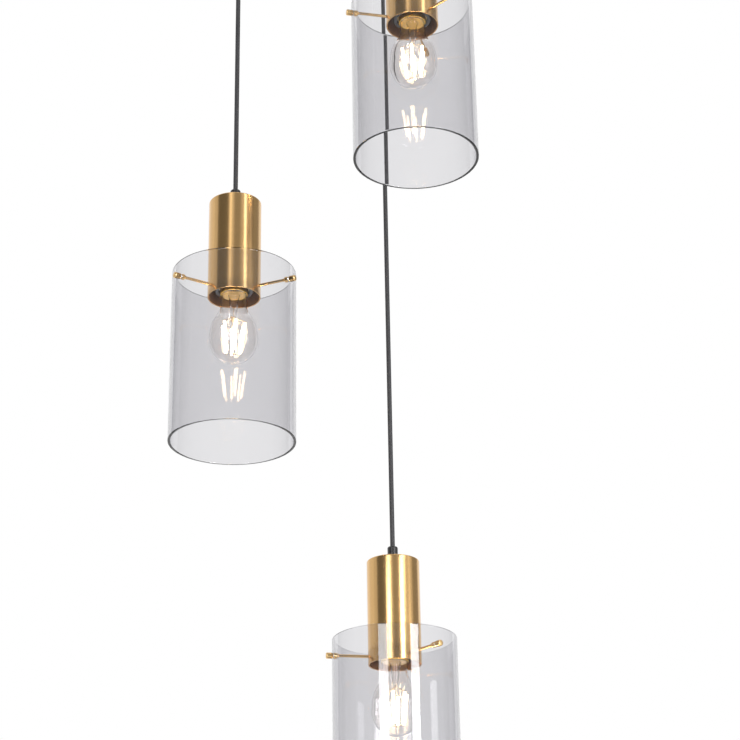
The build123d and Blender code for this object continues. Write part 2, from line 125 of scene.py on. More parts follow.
class Signal:
    """A node's output, on which sums are written as Python expressions."""

    def __init__(self, board: "Board", socket: bpy.types.NodeSocket) -> None:
        """Wraps one output.

        Args:
            board: the board that the node is on.
            socket: the output.
        """
        self.board = board
        self.socket = socket

    def sum(self, operation: str, first: "Value", second: "Value") -> "Signal":
        """A Math node's result.

        Args:
            operation: the Math node's operation.
            first: its first value.
            second: its second value.

        Returns:
            The node's output.
        """
        return self.board.add("ShaderNodeMath", {"operation": operation}, {0: first, 1: second})

    def __add__(self, other: "Value") -> "Signal":
        """This plus another."""
        return self.sum("ADD", self, other)

    def __radd__(self, other: "Value") -> "Signal":
        """Another plus this."""
        return self.sum("ADD", other, self)

    def __mul__(self, other: "Value") -> "Signal":
        """This times another."""
        return self.sum("MULTIPLY", self, other)

    def __rmul__(self, other: "Value") -> "Signal":
        """Another times this."""
        return self.sum("MULTIPLY", other, self)

    def below(self, limit: float) -> "Signal":
        """1 where this is less than a limit, and 0 elsewhere."""
        return self.sum("LESS_THAN", self, limit)

    def at_most(self, limit: float) -> "Signal":
        """This, or the limit where that is less."""
        return self.sum("MINIMUM", self, limit)


Value = Union[Signal, float, Sequence[float]]


class Board:
    """Adds and wires the nodes of one material or world."""

    def __init__(self, owner: Union[bpy.types.Material, bpy.types.World]) -> None:
        """Starts with an empty tree.

        Args:
            owner: the material or world whose nodes these are.
        """
        owner.use_nodes = True
        self.tree = owner.node_tree
        self.tree.nodes.clear()

    def add(self, kind: str, settings: Optional[dict] = None, inputs: Optional[dict] = None,
            output: Union[int, str] = 0) -> Signal:
        """Adds any node.

        Args:
            kind: the node's type.
            settings: its attributes, set first.
            inputs: values or signals for its sockets, by name or number.
            output: which output is wanted.

        Returns:
            That output.
        """
        node = self.tree.nodes.new(kind)
        for key, value in (settings or {}).items():
            setattr(node, key, value)
        for key, value in (inputs or {}).items():
            if isinstance(value, Signal):
                self.tree.links.new(value.socket, node.inputs[key])
            else:
                node.inputs[key].default_value = value
        return Signal(self, node.outputs[output]) if node.outputs else Signal(self, None)

    def noise(self, density: Sequence[float], detail: float = 2.0, roughness: float = 0.5) -> Signal:
        """Soft noise on the piece's own coordinates.

        Args:
            density: how many swells there are in a metre along each axis.
            detail: how many finer layers it has.
            roughness: how strong those are.

        Returns:
            The noise, from 0 to 1.
        """
        place = self.add("ShaderNodeTexCoord", output="Object")
        stretched = self.add("ShaderNodeMapping", None, {"Vector": place, "Scale": tuple(density)})
        return self.add("ShaderNodeTexNoise", {"noise_dimensions": "3D"},
                        {"Vector": stretched, "Scale": 1.0, "Detail": detail, "Roughness": roughness})

    def blend(self, low: Colour, high: Colour, share: Value) -> Signal:
        """A colour between two.

        Args:
            low: the colour where the share is 0.
            high: the colour where the share is 1.
            share: the share of the second.

        Returns:
            The colour.
        """
        return self.add("ShaderNodeMix", {"data_type": "RGBA"}, {0: share, 6: (*low, 1), 7: (*high, 1)}, 2)

    def relief(self, height: Signal, depth: float, strength: float = 0.5) -> Signal:
        """Normals for a fine relief.

        Args:
            height: the relief, from 0 to 1.
            depth: its depth in metres.
            strength: how much of it shows.

        Returns:
            The normals.
        """
        return self.add("ShaderNodeBump", None, {"Height": height, "Distance": depth, "Strength": strength})

    def principled(self, inputs: dict) -> Signal:
        """A Principled shader with these sockets set."""
        return self.add("ShaderNodeBsdfPrincipled", None, inputs)


# ------------------------------------------------------------------ finishes

PATINA = (55.0, 55.0, 30.0)       # slow stains on metal, in swells to the metre
CLOUDS = (35.0, 35.0, 35.0)       # slow changes in a moulding's colour
MOTTLE = (900.0, 900.0, 900.0)    # fine specks in a lit coating
COLOUR_SHARES = (0.45, 0.55)      # how much of a metal's colour follows its grain, and its patina
GLOSS_SHARES = (0.7, 0.3)         # the same for its roughness


@dataclass(frozen=True)
class Finish:
    """What every finish has.

    Args:
        name: what the material is called, before "_finish".
        slot: the record's material slot; not used.
    """

    name: str
    slot: str

    def wire(self, board: Board) -> tuple[Signal, Optional[Signal]]:
        """Adds this finish's nodes.

        Args:
            board: the material's board.

        Returns:
            The surface, and what fills the inside or None.
        """
        raise NotImplementedError

    def material(self) -> bpy.types.Material:
        """This finish's material, made the first time that it is asked for.

        Returns:
            The material.
        """
        title = f"{self.name}_finish"
        found = bpy.data.materials.get(title)
        if found is not None:
            return found
        made = bpy.data.materials.new(title)
        board = Board(made)
        surface, inside = self.wire(board)
        inputs = {"Surface": surface} if inside is None else {"Surface": surface, "Volume": inside}
        board.add("ShaderNodeOutputMaterial", None, inputs)
        return made


@dataclass(frozen=True)
class Metal(Finish):
    """Bare or lacquered metal with a fine grain and a faint patina.

    Args:
        deep: its darker colour.
        pale: its lighter colour.
        smooth: its lowest roughness.
        rough: its highest roughness.
        grain: lines of the grain in a metre along each axis.
        relief: the grain's depth in metres.
    """

    deep: Colour
    pale: Colour
    smooth: float
    rough: float
    grain: tuple[float, float, float]
    relief: float

    def wire(self, board: Board) -> tuple[Signal, Optional[Signal]]:
        """Grain drives roughness, relief and part of the colour; patina drives the rest.

        Args:
            board: the material's board.

        Returns:
            The surface, and no inside.
        """
        grain = board.noise(self.grain, 4.0, 0.6)
        patina = board.noise(PATINA, 3.0)
        colour = board.blend(self.deep, self.pale, grain * COLOUR_SHARES[0] + patina * COLOUR_SHARES[1])
        roughness = self.smooth + (grain * GLOSS_SHARES[0] + patina * GLOSS_SHARES[1]) * (self.rough - self.smooth)
        return board.principled({
            "Base Color": colour, "Metallic": 1.0, "Roughness": roughness,
            "Normal": board.relief(grain, self.relief, 0.35),
        }), None


@dataclass(frozen=True)
class Moulding(Finish):
    """Moulded, fired or painted material with a fine skin.

    Args:
        deep: its darker colour.
        pale: its lighter colour.
        smooth: its lowest roughness.
        rough: its highest roughness.
        skin: swells of the skin in a metre along each axis.
        relief: the skin's depth in metres.
        coat: how much clear gloss lies over it.
    """

    deep: Colour
    pale: Colour
    smooth: float
    rough: float
    skin: tuple[float, float, float]
    relief: float
    coat: float = 0.0

    def wire(self, board: Board) -> tuple[Signal, Optional[Signal]]:
        """Skin drives relief and roughness; slow clouds drive the colour.

        Args:
            board: the material's board.

        Returns:
            The surface, and no inside.
        """
        skin = board.noise(self.skin, 3.0)
        clouds = board.noise(CLOUDS, 2.0)
        roughness = self.smooth + skin * (self.rough - self.smooth)
        return board.principled({
            "Base Color": board.blend(self.deep, self.pale, clouds), "Roughness": roughness,
            "Normal": board.relief(skin, self.relief), "Coat Weight": self.coat, "Coat Roughness": 0.08,
        }), None


@dataclass(frozen=True)
class Glazing(Finish):
    """Clear or tinted glass that lets the lamps' light and reflected light through.

    Args:
        low: its surface colour at one end of a faint cloud.
        high: its surface colour at the other.
        passed: what one face lets through of reflected light.
        shade: the colour that passes it best.
        density: how much it takes off in a metre.
        ripple: swells of its surface in a metre.
        relief: their depth in metres.
    """

    low: Colour
    high: Colour
    passed: Colour
    shade: Colour
    density: float
    ripple: float
    relief: float

    def wire(self, board: Board) -> tuple[Signal, Optional[Signal]]:
        """Glass for what is seen through it and for light held in its wall, clear for the rest.

        Args:
            board: the material's board.

        Returns:
            The surface, and the tint inside where there is one.
        """
        ripple = board.noise((self.ripple,) * 3, 1.0)
        glass = board.principled({
            "Base Color": board.blend(self.low, self.high, ripple), "Roughness": 0.0,
            "Transmission Weight": 1.0, "IOR": 1.5, "Normal": board.relief(ripple, self.relief, 0.3),
        })
        clear = board.add("ShaderNodeBsdfTransparent", None, {"Color": (*self.high, 1)})
        for_lamps = board.add("ShaderNodeLightPath", output="Is Shadow Ray")
        direct = board.add("ShaderNodeMixShader", None, {0: for_lamps, 1: glass, 2: clear})
        veil = board.add("ShaderNodeBsdfTransparent", None, {"Color": (*self.passed, 1)})
        leaving = board.add("ShaderNodeNewGeometry", output="Backfacing")
        passed = board.add("ShaderNodeLightPath", output="Transparent Depth")
        held = leaving * passed.below(0.5)
        through = board.add("ShaderNodeMixShader", None, {0: held, 1: veil, 2: glass})
        reflected = board.add("ShaderNodeLightPath", output="Is Reflection Ray")
        surface = board.add("ShaderNodeMixShader", None, {0: reflected, 1: direct, 2: through})
        if not self.density:
            return surface, None
        inside = board.add("ShaderNodeVolumeAbsorption", None,
                           {"Color": (*self.shade, 1), "Density": self.density})
        return surface, inside


@dataclass(frozen=True)
class Phosphor(Finish):
    """The lit coating of a light stick.

    Args:
        warm: its colour where it is weakest.
        white: its colour where it is strongest.
        strength: how brightly it shines.
    """

    warm: Colour
    white: Colour
    strength: float

    def wire(self, board: Board) -> tuple[Signal, Optional[Signal]]:
        """A coating that shines in a finely mottled warm white.

        Args:
            board: the material's board.

        Returns:
            The surface, and no inside.
        """
        mottle = board.noise(MOTTLE, 2.0)
        colour = board.blend(self.warm, self.white, mottle)
        return board.principled({
            "Base Color": colour, "Roughness": mottle * 0.2 + 0.4,
            "Emission Color": colour, "Emission Strength": self.strength,
        }), None


class Finishes(Enum):
    """Every finish on the lamp."""

    SMOKED_GLASS = Glazing("smoked_glass", "smoked_glass", (0.985, 0.98, 0.985), (1.0, 0.995, 1.0),
                           (0.96, 0.955, 0.96), (0.05, 0.05, 0.12), 74.0, 28.0, 2e-6)
    BULB_GLASS = Glazing("bulb_glass", "bulb_glass", (0.99, 0.975, 0.965), (1.0, 0.99, 0.98),
                         (0.97, 0.965, 0.96), (1.0, 1.0, 1.0), 0.0, 60.0, 4e-6)
    CAP_BRASS = Metal("satin_brass", "brass", (0.71, 0.43, 0.17), (0.84, 0.55, 0.25), 0.15, 0.24,
                      (22.0, 22.0, 3800.0), 6e-6)
    RAW_BRASS = Metal("unpolished_brass", "brass", (0.44, 0.25, 0.13), (0.56, 0.33, 0.18), 0.42, 0.58,
                      (90.0, 90.0, 900.0), 1.2e-5)
    ROD_BRASS = Metal("turned_brass", "brass", (0.74, 0.49, 0.22), (0.86, 0.60, 0.30), 0.14, 0.24,
                      (900.0, 900.0, 900.0), 3e-6)
    SHEET_BRASS = Metal("rolled_brass", "plain_brass", (0.80, 0.58, 0.24), (0.92, 0.70, 0.33), 0.10, 0.24,
                        (300.0, 300.0, 1200.0), 4e-6)
    BASE_BRASS = Metal("gilded_base", "plain_brass", (0.95, 0.58, 0.09), (1.0, 0.70, 0.15), 0.36, 0.50,
                       (700.0, 700.0, 700.0), 8e-6)
    ZINC_STEEL = Metal("zinc_steel", "zinc_steel", (0.50, 0.51, 0.54), (0.68, 0.69, 0.70), 0.22, 0.42,
                       (260.0, 260.0, 260.0), 5e-6)
    SUPPORT_WIRE = Metal("nickel_wire", "filament", (0.55, 0.50, 0.44), (0.72, 0.67, 0.60), 0.15, 0.30,
                         (1500.0, 1500.0, 300.0), 2e-6)
    SOLDER = Metal("tinned_tip", "solder", (0.60, 0.61, 0.62), (0.80, 0.80, 0.79), 0.16, 0.36,
                   (500.0, 500.0, 500.0), 9e-6)
    NYLON = Moulding("black_nylon", "black_nylon", (0.010, 0.010, 0.011), (0.022, 0.022, 0.023), 0.20, 0.34,
                     (1600.0, 1600.0, 1600.0), 5e-6, 0.2)
    PHENOLIC = Moulding("black_phenolic", "black_bakelite", (0.008, 0.008, 0.010), (0.020, 0.019, 0.021), 0.12,
                        0.24, (700.0, 700.0, 700.0), 4e-6, 0.5)
    INSULATOR = Moulding("black_insulator", "black_bakelite", (0.006, 0.006, 0.008), (0.030, 0.024, 0.030), 0.06,
                         0.16, (300.0, 300.0, 300.0), 8e-6, 0.6)
    SHEATH = Moulding("cord_sheath", "cord", (0.018, 0.018, 0.020), (0.034, 0.034, 0.037), 0.36, 0.56,
                      (1400.0, 1400.0, 220.0), 8e-6)
    POWDER_COAT = Moulding("black_powder_coat", "black_paint", (0.013, 0.013, 0.014), (0.022, 0.022, 0.023),
                           0.38, 0.56, (1100.0, 1100.0, 1100.0), 1.2e-5)
    POLYAMIDE = Moulding("white_polyamide", "white_polyamide", (0.72, 0.70, 0.64), (0.80, 0.79, 0.74), 0.34,
                         0.50, (1200.0, 1200.0, 1200.0), 6e-6)
    PORCELAIN = Moulding("glazed_porcelain", "ceramic", (0.78, 0.76, 0.71), (0.86, 0.84, 0.80), 0.12, 0.26,
                         (400.0, 400.0, 400.0), 6e-6, 0.3)
    LIGHT_STICK = Phosphor("lit_phosphor", "filament", (1.0, 0.72, 0.40), (1.0, 0.82, 0.56), 40.0)


# ------------------------------------------------------------------ steps of hand modelling

@dataclass(frozen=True)
class Corner:
    """A corner of a half section, in mm.

    Args:
        radius: how far it is from the axis.
        height: its height.
        rounding: how far its rounding reaches along both of its sides.
    """

    radius: float
    height: float
    rounding: float = 0.0

    def point(self) -> Vector:
        """Its place in metres, in the half plane of +X."""
        return Vector((self.radius, 0.0, self.height)) * MM


class Bench:
    """Modelling steps that several pieces share."""

    @staticmethod
    def clear() -> None:
        """Leaves edit mode and deselects every object."""
        if bpy.context.mode != "OBJECT":
            bpy.ops.object.mode_set(mode="OBJECT")
        bpy.ops.object.select_all(action="DESELECT")

    @staticmethod
    def take(*pieces: Shape) -> None:
        """Selects these objects alone and makes the first one active."""
        Bench.clear()
        for piece in pieces:
            piece.select_set(True)
        bpy.context.view_layer.objects.active = pieces[0]

    @staticmethod
    def pick(piece: Shape, wanted: Callable[[Vector], bool]) -> None:
        """Selects points in edit mode by their place.

        Args:
            piece: the object in edit mode.
            wanted: tells which points are wanted.
        """
        shape = bmesh.from_edit_mesh(piece.data)
        for point in shape.verts:
            point.select_set(wanted(point.co))
        shape.select_flush_mode()
        bmesh.update_edit_mesh(piece.data)

    @staticmethod
    def held(outline: Sequence[Corner], closed: bool, hold: float = 0.35) -> list[Corner]:
        """Adds a plain corner just beyond each rounding, so that long walls are shaded flat.

        Args:
            outline: the corners of the half section, in order.
            closed: whether the last corner joins the first.
            hold: how far beyond the rounding it is, in mm.

        Returns:
            All the corners, in order.
        """
        full = []
        for place, corner in enumerate(outline):
            held = {}
            for side in (-1, 1):
                other = outline[(place + side) % len(outline)]
                gap = math.dist((corner.radius, corner.height), (other.radius, other.height))
                reach = corner.rounding + hold
                inside = closed or 0 <= place + side < len(outline)
                if inside and corner.rounding and gap > reach + other.rounding + 2 * hold:
                    share = reach / gap
                    held[side] = Corner(corner.radius + (other.radius - corner.radius) * share,
                                        corner.height + (other.height - corner.height) * share)
            full += [spot for spot in (held.get(-1), corner, held.get(1)) if spot]
        return full

    @staticmethod
    def turn(name: str, outline: Sequence[Corner], closed: bool = False, steps: int = 96) -> Shape:
        """Turns a piece about the Z axis from its half section.

        Args:
            name: the piece's name.
            outline: the corners of the half section, in order.
            closed: whether the last corner joins the first, as on a ring.
            steps: facets round the axis.

        Returns:
            The piece, with its faces outwards.
        """
        Bench.clear()
        outline = Bench.held(outline, closed)
        start = outline[0]
        bpy.ops.mesh.primitive_plane_add(size=MM, location=start.point())
        piece = bpy.context.object
        piece.name = piece.data.name = name
        bpy.ops.object.transform_apply()
        bpy.ops.object.mode_set(mode="EDIT")
        bpy.ops.mesh.select_all(action="SELECT")
        bpy.ops.mesh.merge(type="CENTER")
        before = start
        for corner in [*outline[1:], *([start] if closed else [])]:
            step = corner.point() - before.point()
            bpy.ops.mesh.extrude_vertices_move(TRANSFORM_OT_translate={"value": step})
            before = corner
        bpy.ops.mesh.select_all(action="SELECT")
        bpy.ops.mesh.remove_doubles(threshold=HAIR)
        for corner in outline:
            if corner.rounding:
                Bench.pick(piece, lambda spot: (spot - corner.point()).length < 4 * HAIR)
                bpy.ops.mesh.bevel(offset=corner.rounding * MM, segments=5, affect="VERTICES")
        bpy.ops.mesh.select_all(action="SELECT")
        bpy.ops.mesh.spin(steps=steps, angle=math.tau, center=(0, 0, 0), axis=(0, 0, 1))
        bpy.ops.mesh.select_all(action="SELECT")
        bpy.ops.mesh.remove_doubles(threshold=HAIR)
        bpy.ops.mesh.normals_make_consistent(inside=False)
        Bench.clear()
        return piece

    @staticmethod
    def drill(piece: Shape, radius: float, length: float, places: Sequence[Matrix]) -> None:
        """Bores round holes through a piece.

        Args:
            piece: the piece.
            radius: the holes' radius in mm.
            length: the drill's length in mm.
            places: where the drill's middle is, with its length along Z.
        """
        for place in places:
            Bench.clear()
            bpy.ops.mesh.primitive_cylinder_add(vertices=48, radius=radius * MM, depth=length * MM)
            drill = bpy.context.object
            drill.data.transform(place)
            bore = piece.modifiers.new("bore", "BOOLEAN")
            bore.operation, bore.solver, bore.object = "DIFFERENCE", "EXACT", drill
            Bench.take(piece)
            bpy.ops.object.modifier_apply(modifier=bore.name)
            bpy.data.objects.remove(drill)

    @staticmethod
    def thicken(piece: Shape, wall: float, side: float) -> None:
        """Gives a surface its wall.

        Args:
            piece: the surface.
            wall: the wall's thickness in mm.
            side: -1 for a wall inside the surface, 1 for one outside.
        """
        wall_of = piece.modifiers.new("wall", "SOLIDIFY")
        wall_of.thickness, wall_of.offset, wall_of.use_even_offset = wall * MM, side, True
        Bench.take(piece)
        bpy.ops.object.modifier_apply(modifier=wall_of.name)

    @staticmethod
    def copy(piece: Shape, name: str, place: Matrix) -> Shape:
        """A copy of a piece with its own mesh, set at a place.

        Args:
            piece: the piece.
            name: the copy's name.
            place: the move from the piece's place to the copy's.

        Returns:
            The copy.
        """
        twin = piece.copy()
        twin.data = piece.data.copy()
        twin.name = twin.data.name = name
        bpy.context.scene.collection.objects.link(twin)
        twin.data.transform(place)
        return twin

    @staticmethod
    def array(piece: Shape, name: str, places: Sequence[Matrix]) -> Shape:
        """Copies of a piece at several places, joined, in place of the piece.

        Args:
            piece: the piece.
            name: the joined piece's name.
            places: where the copies go.

        Returns:
            The joined piece.
        """
        copies = [Bench.copy(piece, f"{name}_{i}", place) for i, place in enumerate(places)]
        bpy.data.objects.remove(piece)
        return Bench.join(name, copies)

    @staticmethod
    def join(name: str, pieces: Sequence[Shape]) -> Shape:
        """Joins pieces into the first one.

        Args:
            name: the joined piece's name.
            pieces: the pieces.

        Returns:
            The joined piece.
        """
        Bench.take(*pieces)
        bpy.ops.object.join()
        whole = bpy.context.object
        whole.name = whole.data.name = name
        Bench.clear()
        return whole

    @staticmethod
    def smooth(piece: Shape, sharp: float = 32.0) -> None:
        """Shades a piece smooth, apart from edges that turn by more than an angle in degrees."""
        Bench.take(piece)
        bpy.ops.object.shade_smooth_by_angle(angle=math.radians(sharp))
        Bench.clear()

    @staticmethod
    def between(start: Vector, end: Vector) -> Matrix:
        """The place of a bar that stands on the origin along Z, so that it runs from one point to another."""
        turn = (end - start).to_track_quat("Z", "Y").to_matrix().to_4x4()
        return Matrix.Translation(start) @ turn

    @staticmethod
    def round_turns(count: int, start: float = 0.0) -> list[Matrix]:
        """Even turns round the Z axis."""
        return [Matrix.Rotation(math.radians(start + 360.0 * i / count), 4, "Z") for i in range(count)]


def dress(piece: Shape, finish: Finishes, body: str, *nodes: str) -> None:
    """Gives a piece its finish and its body, and hides the CAD nodes that it stands for.

    Args:
        piece: the piece.
        finish: its finish.
        body: the CAD body that it rides on.
        nodes: the CAD nodes that it stands for.
    """
    piece.data.materials.clear()
    piece.data.materials.append(finish.value.material())
    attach(piece, body)
    if nodes:
        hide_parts(*nodes)
    log.info("%s rides on %s, %s", piece.name, body, finish.value.name)


# ------------------------------------------------------------------ one pendant

@dataclass(frozen=True)
class Made:
    """One piece of a pendant, modelled about the pendant's own axis.

    Args:
        shape: the piece.
        finish: its finish.
        body: the kind of body that it rides on.
        node: the kind of CAD node that it stands for.
        inside: the finish of the faces with material number 1.
    """

    shape: Shape
    finish: Finishes
    body: str
    node: str
    inside: Optional[Finishes] = None


@dataclass
class GlassShade:
    """Open smoked-glass cylinder with polished rims and a hole for each rod."""

    radius: float = 60.0
    wall: float = 2.5
    height: float = 174.0
    edge: float = 0.6
    hole: float = 2.2
    rod_height: float = -17.5
    rods: int = 3
    margin: float = 4.5
    facets: int = 240

    def model(self) -> Made:
        """The glass, with rings of points above and below the holes to keep its wall even.

        Returns:
            The glass.
        """
        inner, low = self.radius - self.wall, -self.height
        rings = (self.rod_height + self.margin, self.rod_height - self.margin)
        outline = [
            Corner(self.radius, 0, self.edge), *(Corner(self.radius, z) for z in rings),
            Corner(self.radius, low, self.edge), Corner(inner, low, self.edge),
            *(Corner(inner, z) for z in reversed(rings)), Corner(inner, 0, self.edge),
        ]
        glass = Bench.turn("glass", outline, closed=True, steps=self.facets)
        across = Matrix.Translation(((self.radius - self.wall / 2) * MM, 0, self.rod_height * MM))
        across @= Matrix.Rotation(math.pi / 2, 4, "Y")
        Bench.drill(glass, self.hole, 4 * self.wall, [turn @ across for turn in Bench.round_turns(self.rods)])
        Bench.smooth(glass)
        return Made(glass, Finishes.SMOKED_GLASS, "pendant", "glass_shade")


@dataclass
class BrassCap:
    """Deep spun cup with a softened shoulder, a rolled mouth and a tapped hole for each rod."""

    radius: float = 25.6
    wall: float = 1.2
    plate: float = 1.5
    top: float = 78.0
    bottom: float = -25.0
    shoulder: float = 1.2
    lip: float = 0.45
    neck_hole: float = 5.05
    rod_hole: float = 1.4
    rod_height: float = -17.5
    rods: int = 3
    margin: float = 2.5
    facets: int = 160

    def model(self) -> Made:
        """Turns and drills the cap, and marks the faces of its unpolished inside.

        Returns:
            The cap.
        """
        inner, under = self.radius - self.wall, self.top - self.plate
        rings = (self.rod_height + self.margin, self.rod_height - self.margin)
        outline = [
            Corner(self.neck_hole, self.top), Corner(self.radius, self.top, self.shoulder),
            *(Corner(self.radius, z) for z in rings),
            Corner(self.radius, self.bottom, self.lip), Corner(inner, self.bottom, self.lip),
            *(Corner(inner, z) for z in reversed(rings)),
            Corner(inner, under, self.shoulder), Corner(self.neck_hole, under),
        ]
        cap = Bench.turn("cap", outline, closed=True, steps=self.facets)
        across = Matrix.Translation((self.radius * MM, 0, self.rod_height * MM))
        across @= Matrix.Rotation(math.pi / 2, 4, "Y")
        Bench.drill(cap, self.rod_hole, 6 * self.wall, [turn @ across for turn in Bench.round_turns(self.rods)])
        Bench.smooth(cap)
        for face in cap.data.polygons:
            outward = Vector((face.center.x, face.center.y, 0))
            face.material_index = int(outward.length < (inner + 0.2) * MM and face.normal.dot(outward) < 0)
        return Made(cap, Finishes.CAP_BRASS, "pendant", "cap", Finishes.RAW_BRASS)


@dataclass
class CordGrip:
    """Nylon cord grip on the cap: a low foot, a slim body rounded off at the cord and a shank in the cap."""

    seat: float = 78.0
    height: float = 15.0
    radius: float = 5.1
    foot_radius: float = 5.7
    foot_height: float = 2.5
    nose: float = 1.6
    bore: float = 2.4
    bore_depth: float = 5.0
    wire_bore: float = 1.65
    shank_radius: float = 4.9
    shank: float = 12.0

    def model(self) -> Made:
        """Turns the grip.

        Returns:
            The grip.
        """
        top, foot, end = self.seat + self.height, self.seat + self.foot_height, self.seat - self.shank
        grip = Bench.turn("grip", [
            Corner(self.bore, top, 0.5), Corner(self.radius, top, self.nose), Corner(self.radius, foot, 0.3),
            Corner(self.foot_radius, foot, 0.5), Corner(self.foot_radius, self.seat, 0.2),
            Corner(self.shank_radius, self.seat), Corner(self.shank_radius, end, 0.4),
            Corner(self.wire_bore, end), Corner(self.wire_bore, top - self.bore_depth),
            Corner(self.bore, top - self.bore_depth),
        ], closed=True, steps=64)
        Bench.smooth(grip)
        return Made(grip, Finishes.NYLON, "pendant", "strain_relief")


@dataclass
class Rods:
    """Three turned brass rods, each with a root in the cap, a collar inside the glass and a spigot through it."""

    count: int = 3
    height: float = -17.5
    radius: float = 1.4
    inner_end: float = 21.6
    outer_end: float = 65.0
    collar_radius: float = 2.7
    collar_length: float = 3.0
    spigot_radius: float = 2.0
    glass_radius: float = 60.0
    glass_wall: float = 2.5
    knob_radius: float = 2.95
    knob_length: float = 6.5
    collar_gap: float = 0.1
    shoulder_step: float = 0.35
    shoulder: tuple[float, float] = (0.8, 0.3)
    knob_gap: float = 0.05
    knob_play: float = 0.02
    knob_step: float = 0.35
    knob_foot: tuple[float, float] = (0.7, 0.9)

    def around(self, piece: Shape, name: str) -> Shape:
        """A bar modelled along Z, laid along +X at the rods' height and set round the axis.

        Args:
            piece: the bar.
            name: the joined piece's name.

        Returns:
            The bars, as one piece.
        """
        lay = Matrix.Translation((0, 0, self.height * MM)) @ Matrix.Rotation(math.pi / 2, 4, "Y")
        return Bench.array(piece, name, [turn @ lay for turn in Bench.round_turns(self.count)])

    def model(self) -> list[Made]:
        """Turns a rod and a knob, and sets them round the axis.

        Returns:
            The rods, and the knobs that close them outside the glass.
        """
        collar_end = self.glass_radius - self.glass_wall - self.collar_gap
        collar_start = collar_end - self.collar_length
        stout = self.radius + self.shoulder_step
        foot, top = self.shoulder
        rod = Bench.turn("rod", [
            Corner(0, self.inner_end), Corner(self.radius, self.inner_end, 0.4),
            Corner(self.radius, collar_start - foot), Corner(stout, collar_start - top, 0.2),
            Corner(stout, collar_start), Corner(self.collar_radius, collar_start, 0.45),
            Corner(self.collar_radius, collar_end, 0.3), Corner(self.spigot_radius, collar_end),
            Corner(self.spigot_radius, self.glass_radius), Corner(self.radius, self.glass_radius),
            Corner(self.radius, self.outer_end), Corner(0, self.outer_end),
        ], steps=40)
        rods = self.around(rod, "rods")
        Bench.smooth(rods)
        near = self.glass_radius + self.knob_gap
        far = near + self.knob_length
        bore, slim = self.radius + self.knob_play, self.knob_radius - self.knob_step
        foot, top = self.knob_foot
        knob = Bench.turn("knob", [
            Corner(bore, near), Corner(slim, near, 0.15), Corner(slim, near + foot),
            Corner(self.knob_radius, near + top, 0.15), Corner(self.knob_radius, far, 1.1),
            Corner(0, far), Corner(0, self.outer_end), Corner(bore, self.outer_end),
        ], closed=True, steps=48)
        knobs = self.around(knob, "knobs")
        Bench.smooth(knobs)
        return [Made(rods, Finishes.ROD_BRASS, "pendant", "rods"),
                Made(knobs, Finishes.ROD_BRASS, "pendant", "rod_knobs")]


@dataclass
class Thread:
    """A rolled round thread, wound into the rings of a turned wall.

    Args:
        root: radius at the bottom of the thread, in mm.
        crest: radius at its top.
        pitch: from one turn to the next.
        low: where it starts.
        high: where it ends.
    """

    root: float
    crest: float
    pitch: float
    low: float
    high: float

    def rings(self, radius: float, per_turn: int = 10) -> list[Corner]:
        """Corners of a plain wall that the thread can be wound into.

        Args:
            radius: the wall's radius in mm.
            per_turn: how many rings there are in a turn of the thread.

        Returns:
            The corners, from low to high.
        """
        count = round((self.high - self.low) / self.pitch * per_turn)
        return [Corner(radius, self.low + (self.high - self.low) * i / count) for i in range(count + 1)]

    def wind(self, piece: Shape, plain: float, near: float = 0.01) -> None:
        """Moves the wall's points in and out along the thread, which fades at both ends.

        Args:
            piece: the turned piece.
            plain: the radius of its plain wall in mm.
            near: how far from that wall a point may be and still belong to it.
        """
        middle, depth = (self.root + self.crest) / 2, (self.crest - self.root) / 2
        for point in piece.data.vertices:
            x, y, height = (value / MM for value in point.co)
            radius = math.hypot(x, y)
            if abs(radius - plain) > near or not self.low - near <= height <= self.high + near:
                continue
            fade = min(1.0, (height - self.low) / self.pitch * 2, (self.high - height) / self.pitch * 2)
            phase = math.tau * height / self.pitch - math.atan2(y, x)
            wanted = middle + depth * max(0.0, fade) * math.cos(phase)
            point.co.x *= wanted / radius
            point.co.y *= wanted / radius


@dataclass
class Lampholder:
    """Black E27 holder: its outer skirt with a turned-in lip, and the rolled brass shell inside."""

    radius: float = 19.0
    wall: float = 1.3
    mouth: float = -19.0
    joint: float = 12.0
    lip_radius: float = 15.0
    lip_height: float = 1.6
    shell_low: float = -16.5
    shell_high: float = 8.8
    shell_wall: float = 0.5
    pitch: float = 3.629
    thread_root: float = 13.5
    thread_crest: float = 14.0
    thread_margin: float = 1.5
    rim_step: float = 0.35
    rim_rise: tuple[float, float] = (2.8, 3.2)

    def model(self) -> list[Made]:
        """Turns the skirt and rolls the threaded shell.

        Returns:
            The skirt and the shell.
        """
        inner, rim = self.radius - self.wall, self.radius - self.rim_step
        low, high = self.rim_rise
        skirt = Bench.turn("skirt", [
            Corner(self.radius, self.joint, 0.3), Corner(self.radius, self.mouth + high),
            Corner(rim, self.mouth + low), Corner(rim, self.mouth, 1.0),
            Corner(self.lip_radius, self.mouth, 0.5), Corner(self.lip_radius, self.mouth + self.lip_height, 0.3),
            Corner(inner, self.mouth + self.lip_height, 0.3), Corner(inner, self.joint, 0.3),
        ], closed=True, steps=112)
        Bench.smooth(skirt)
        thread = Thread(self.thread_root, self.thread_crest, self.pitch,
                        self.shell_low + self.thread_margin, self.shell_high - self.thread_margin)
        plain = (thread.root + thread.crest) / 2
        shell = Bench.turn("thread_shell", [
            Corner(plain, self.shell_low), *thread.rings(plain), Corner(plain, self.shell_high),
        ], steps=72)
        thread.wind(shell, plain)
        Bench.thicken(shell, self.shell_wall, 1.0)
        Bench.smooth(shell, sharp=60.0)
        return [Made(skirt, Finishes.PHENOLIC, "pendant", "holder_skirt"),
                Made(shell, Finishes.SHEET_BRASS, "pendant", "holder_screw_shell")]


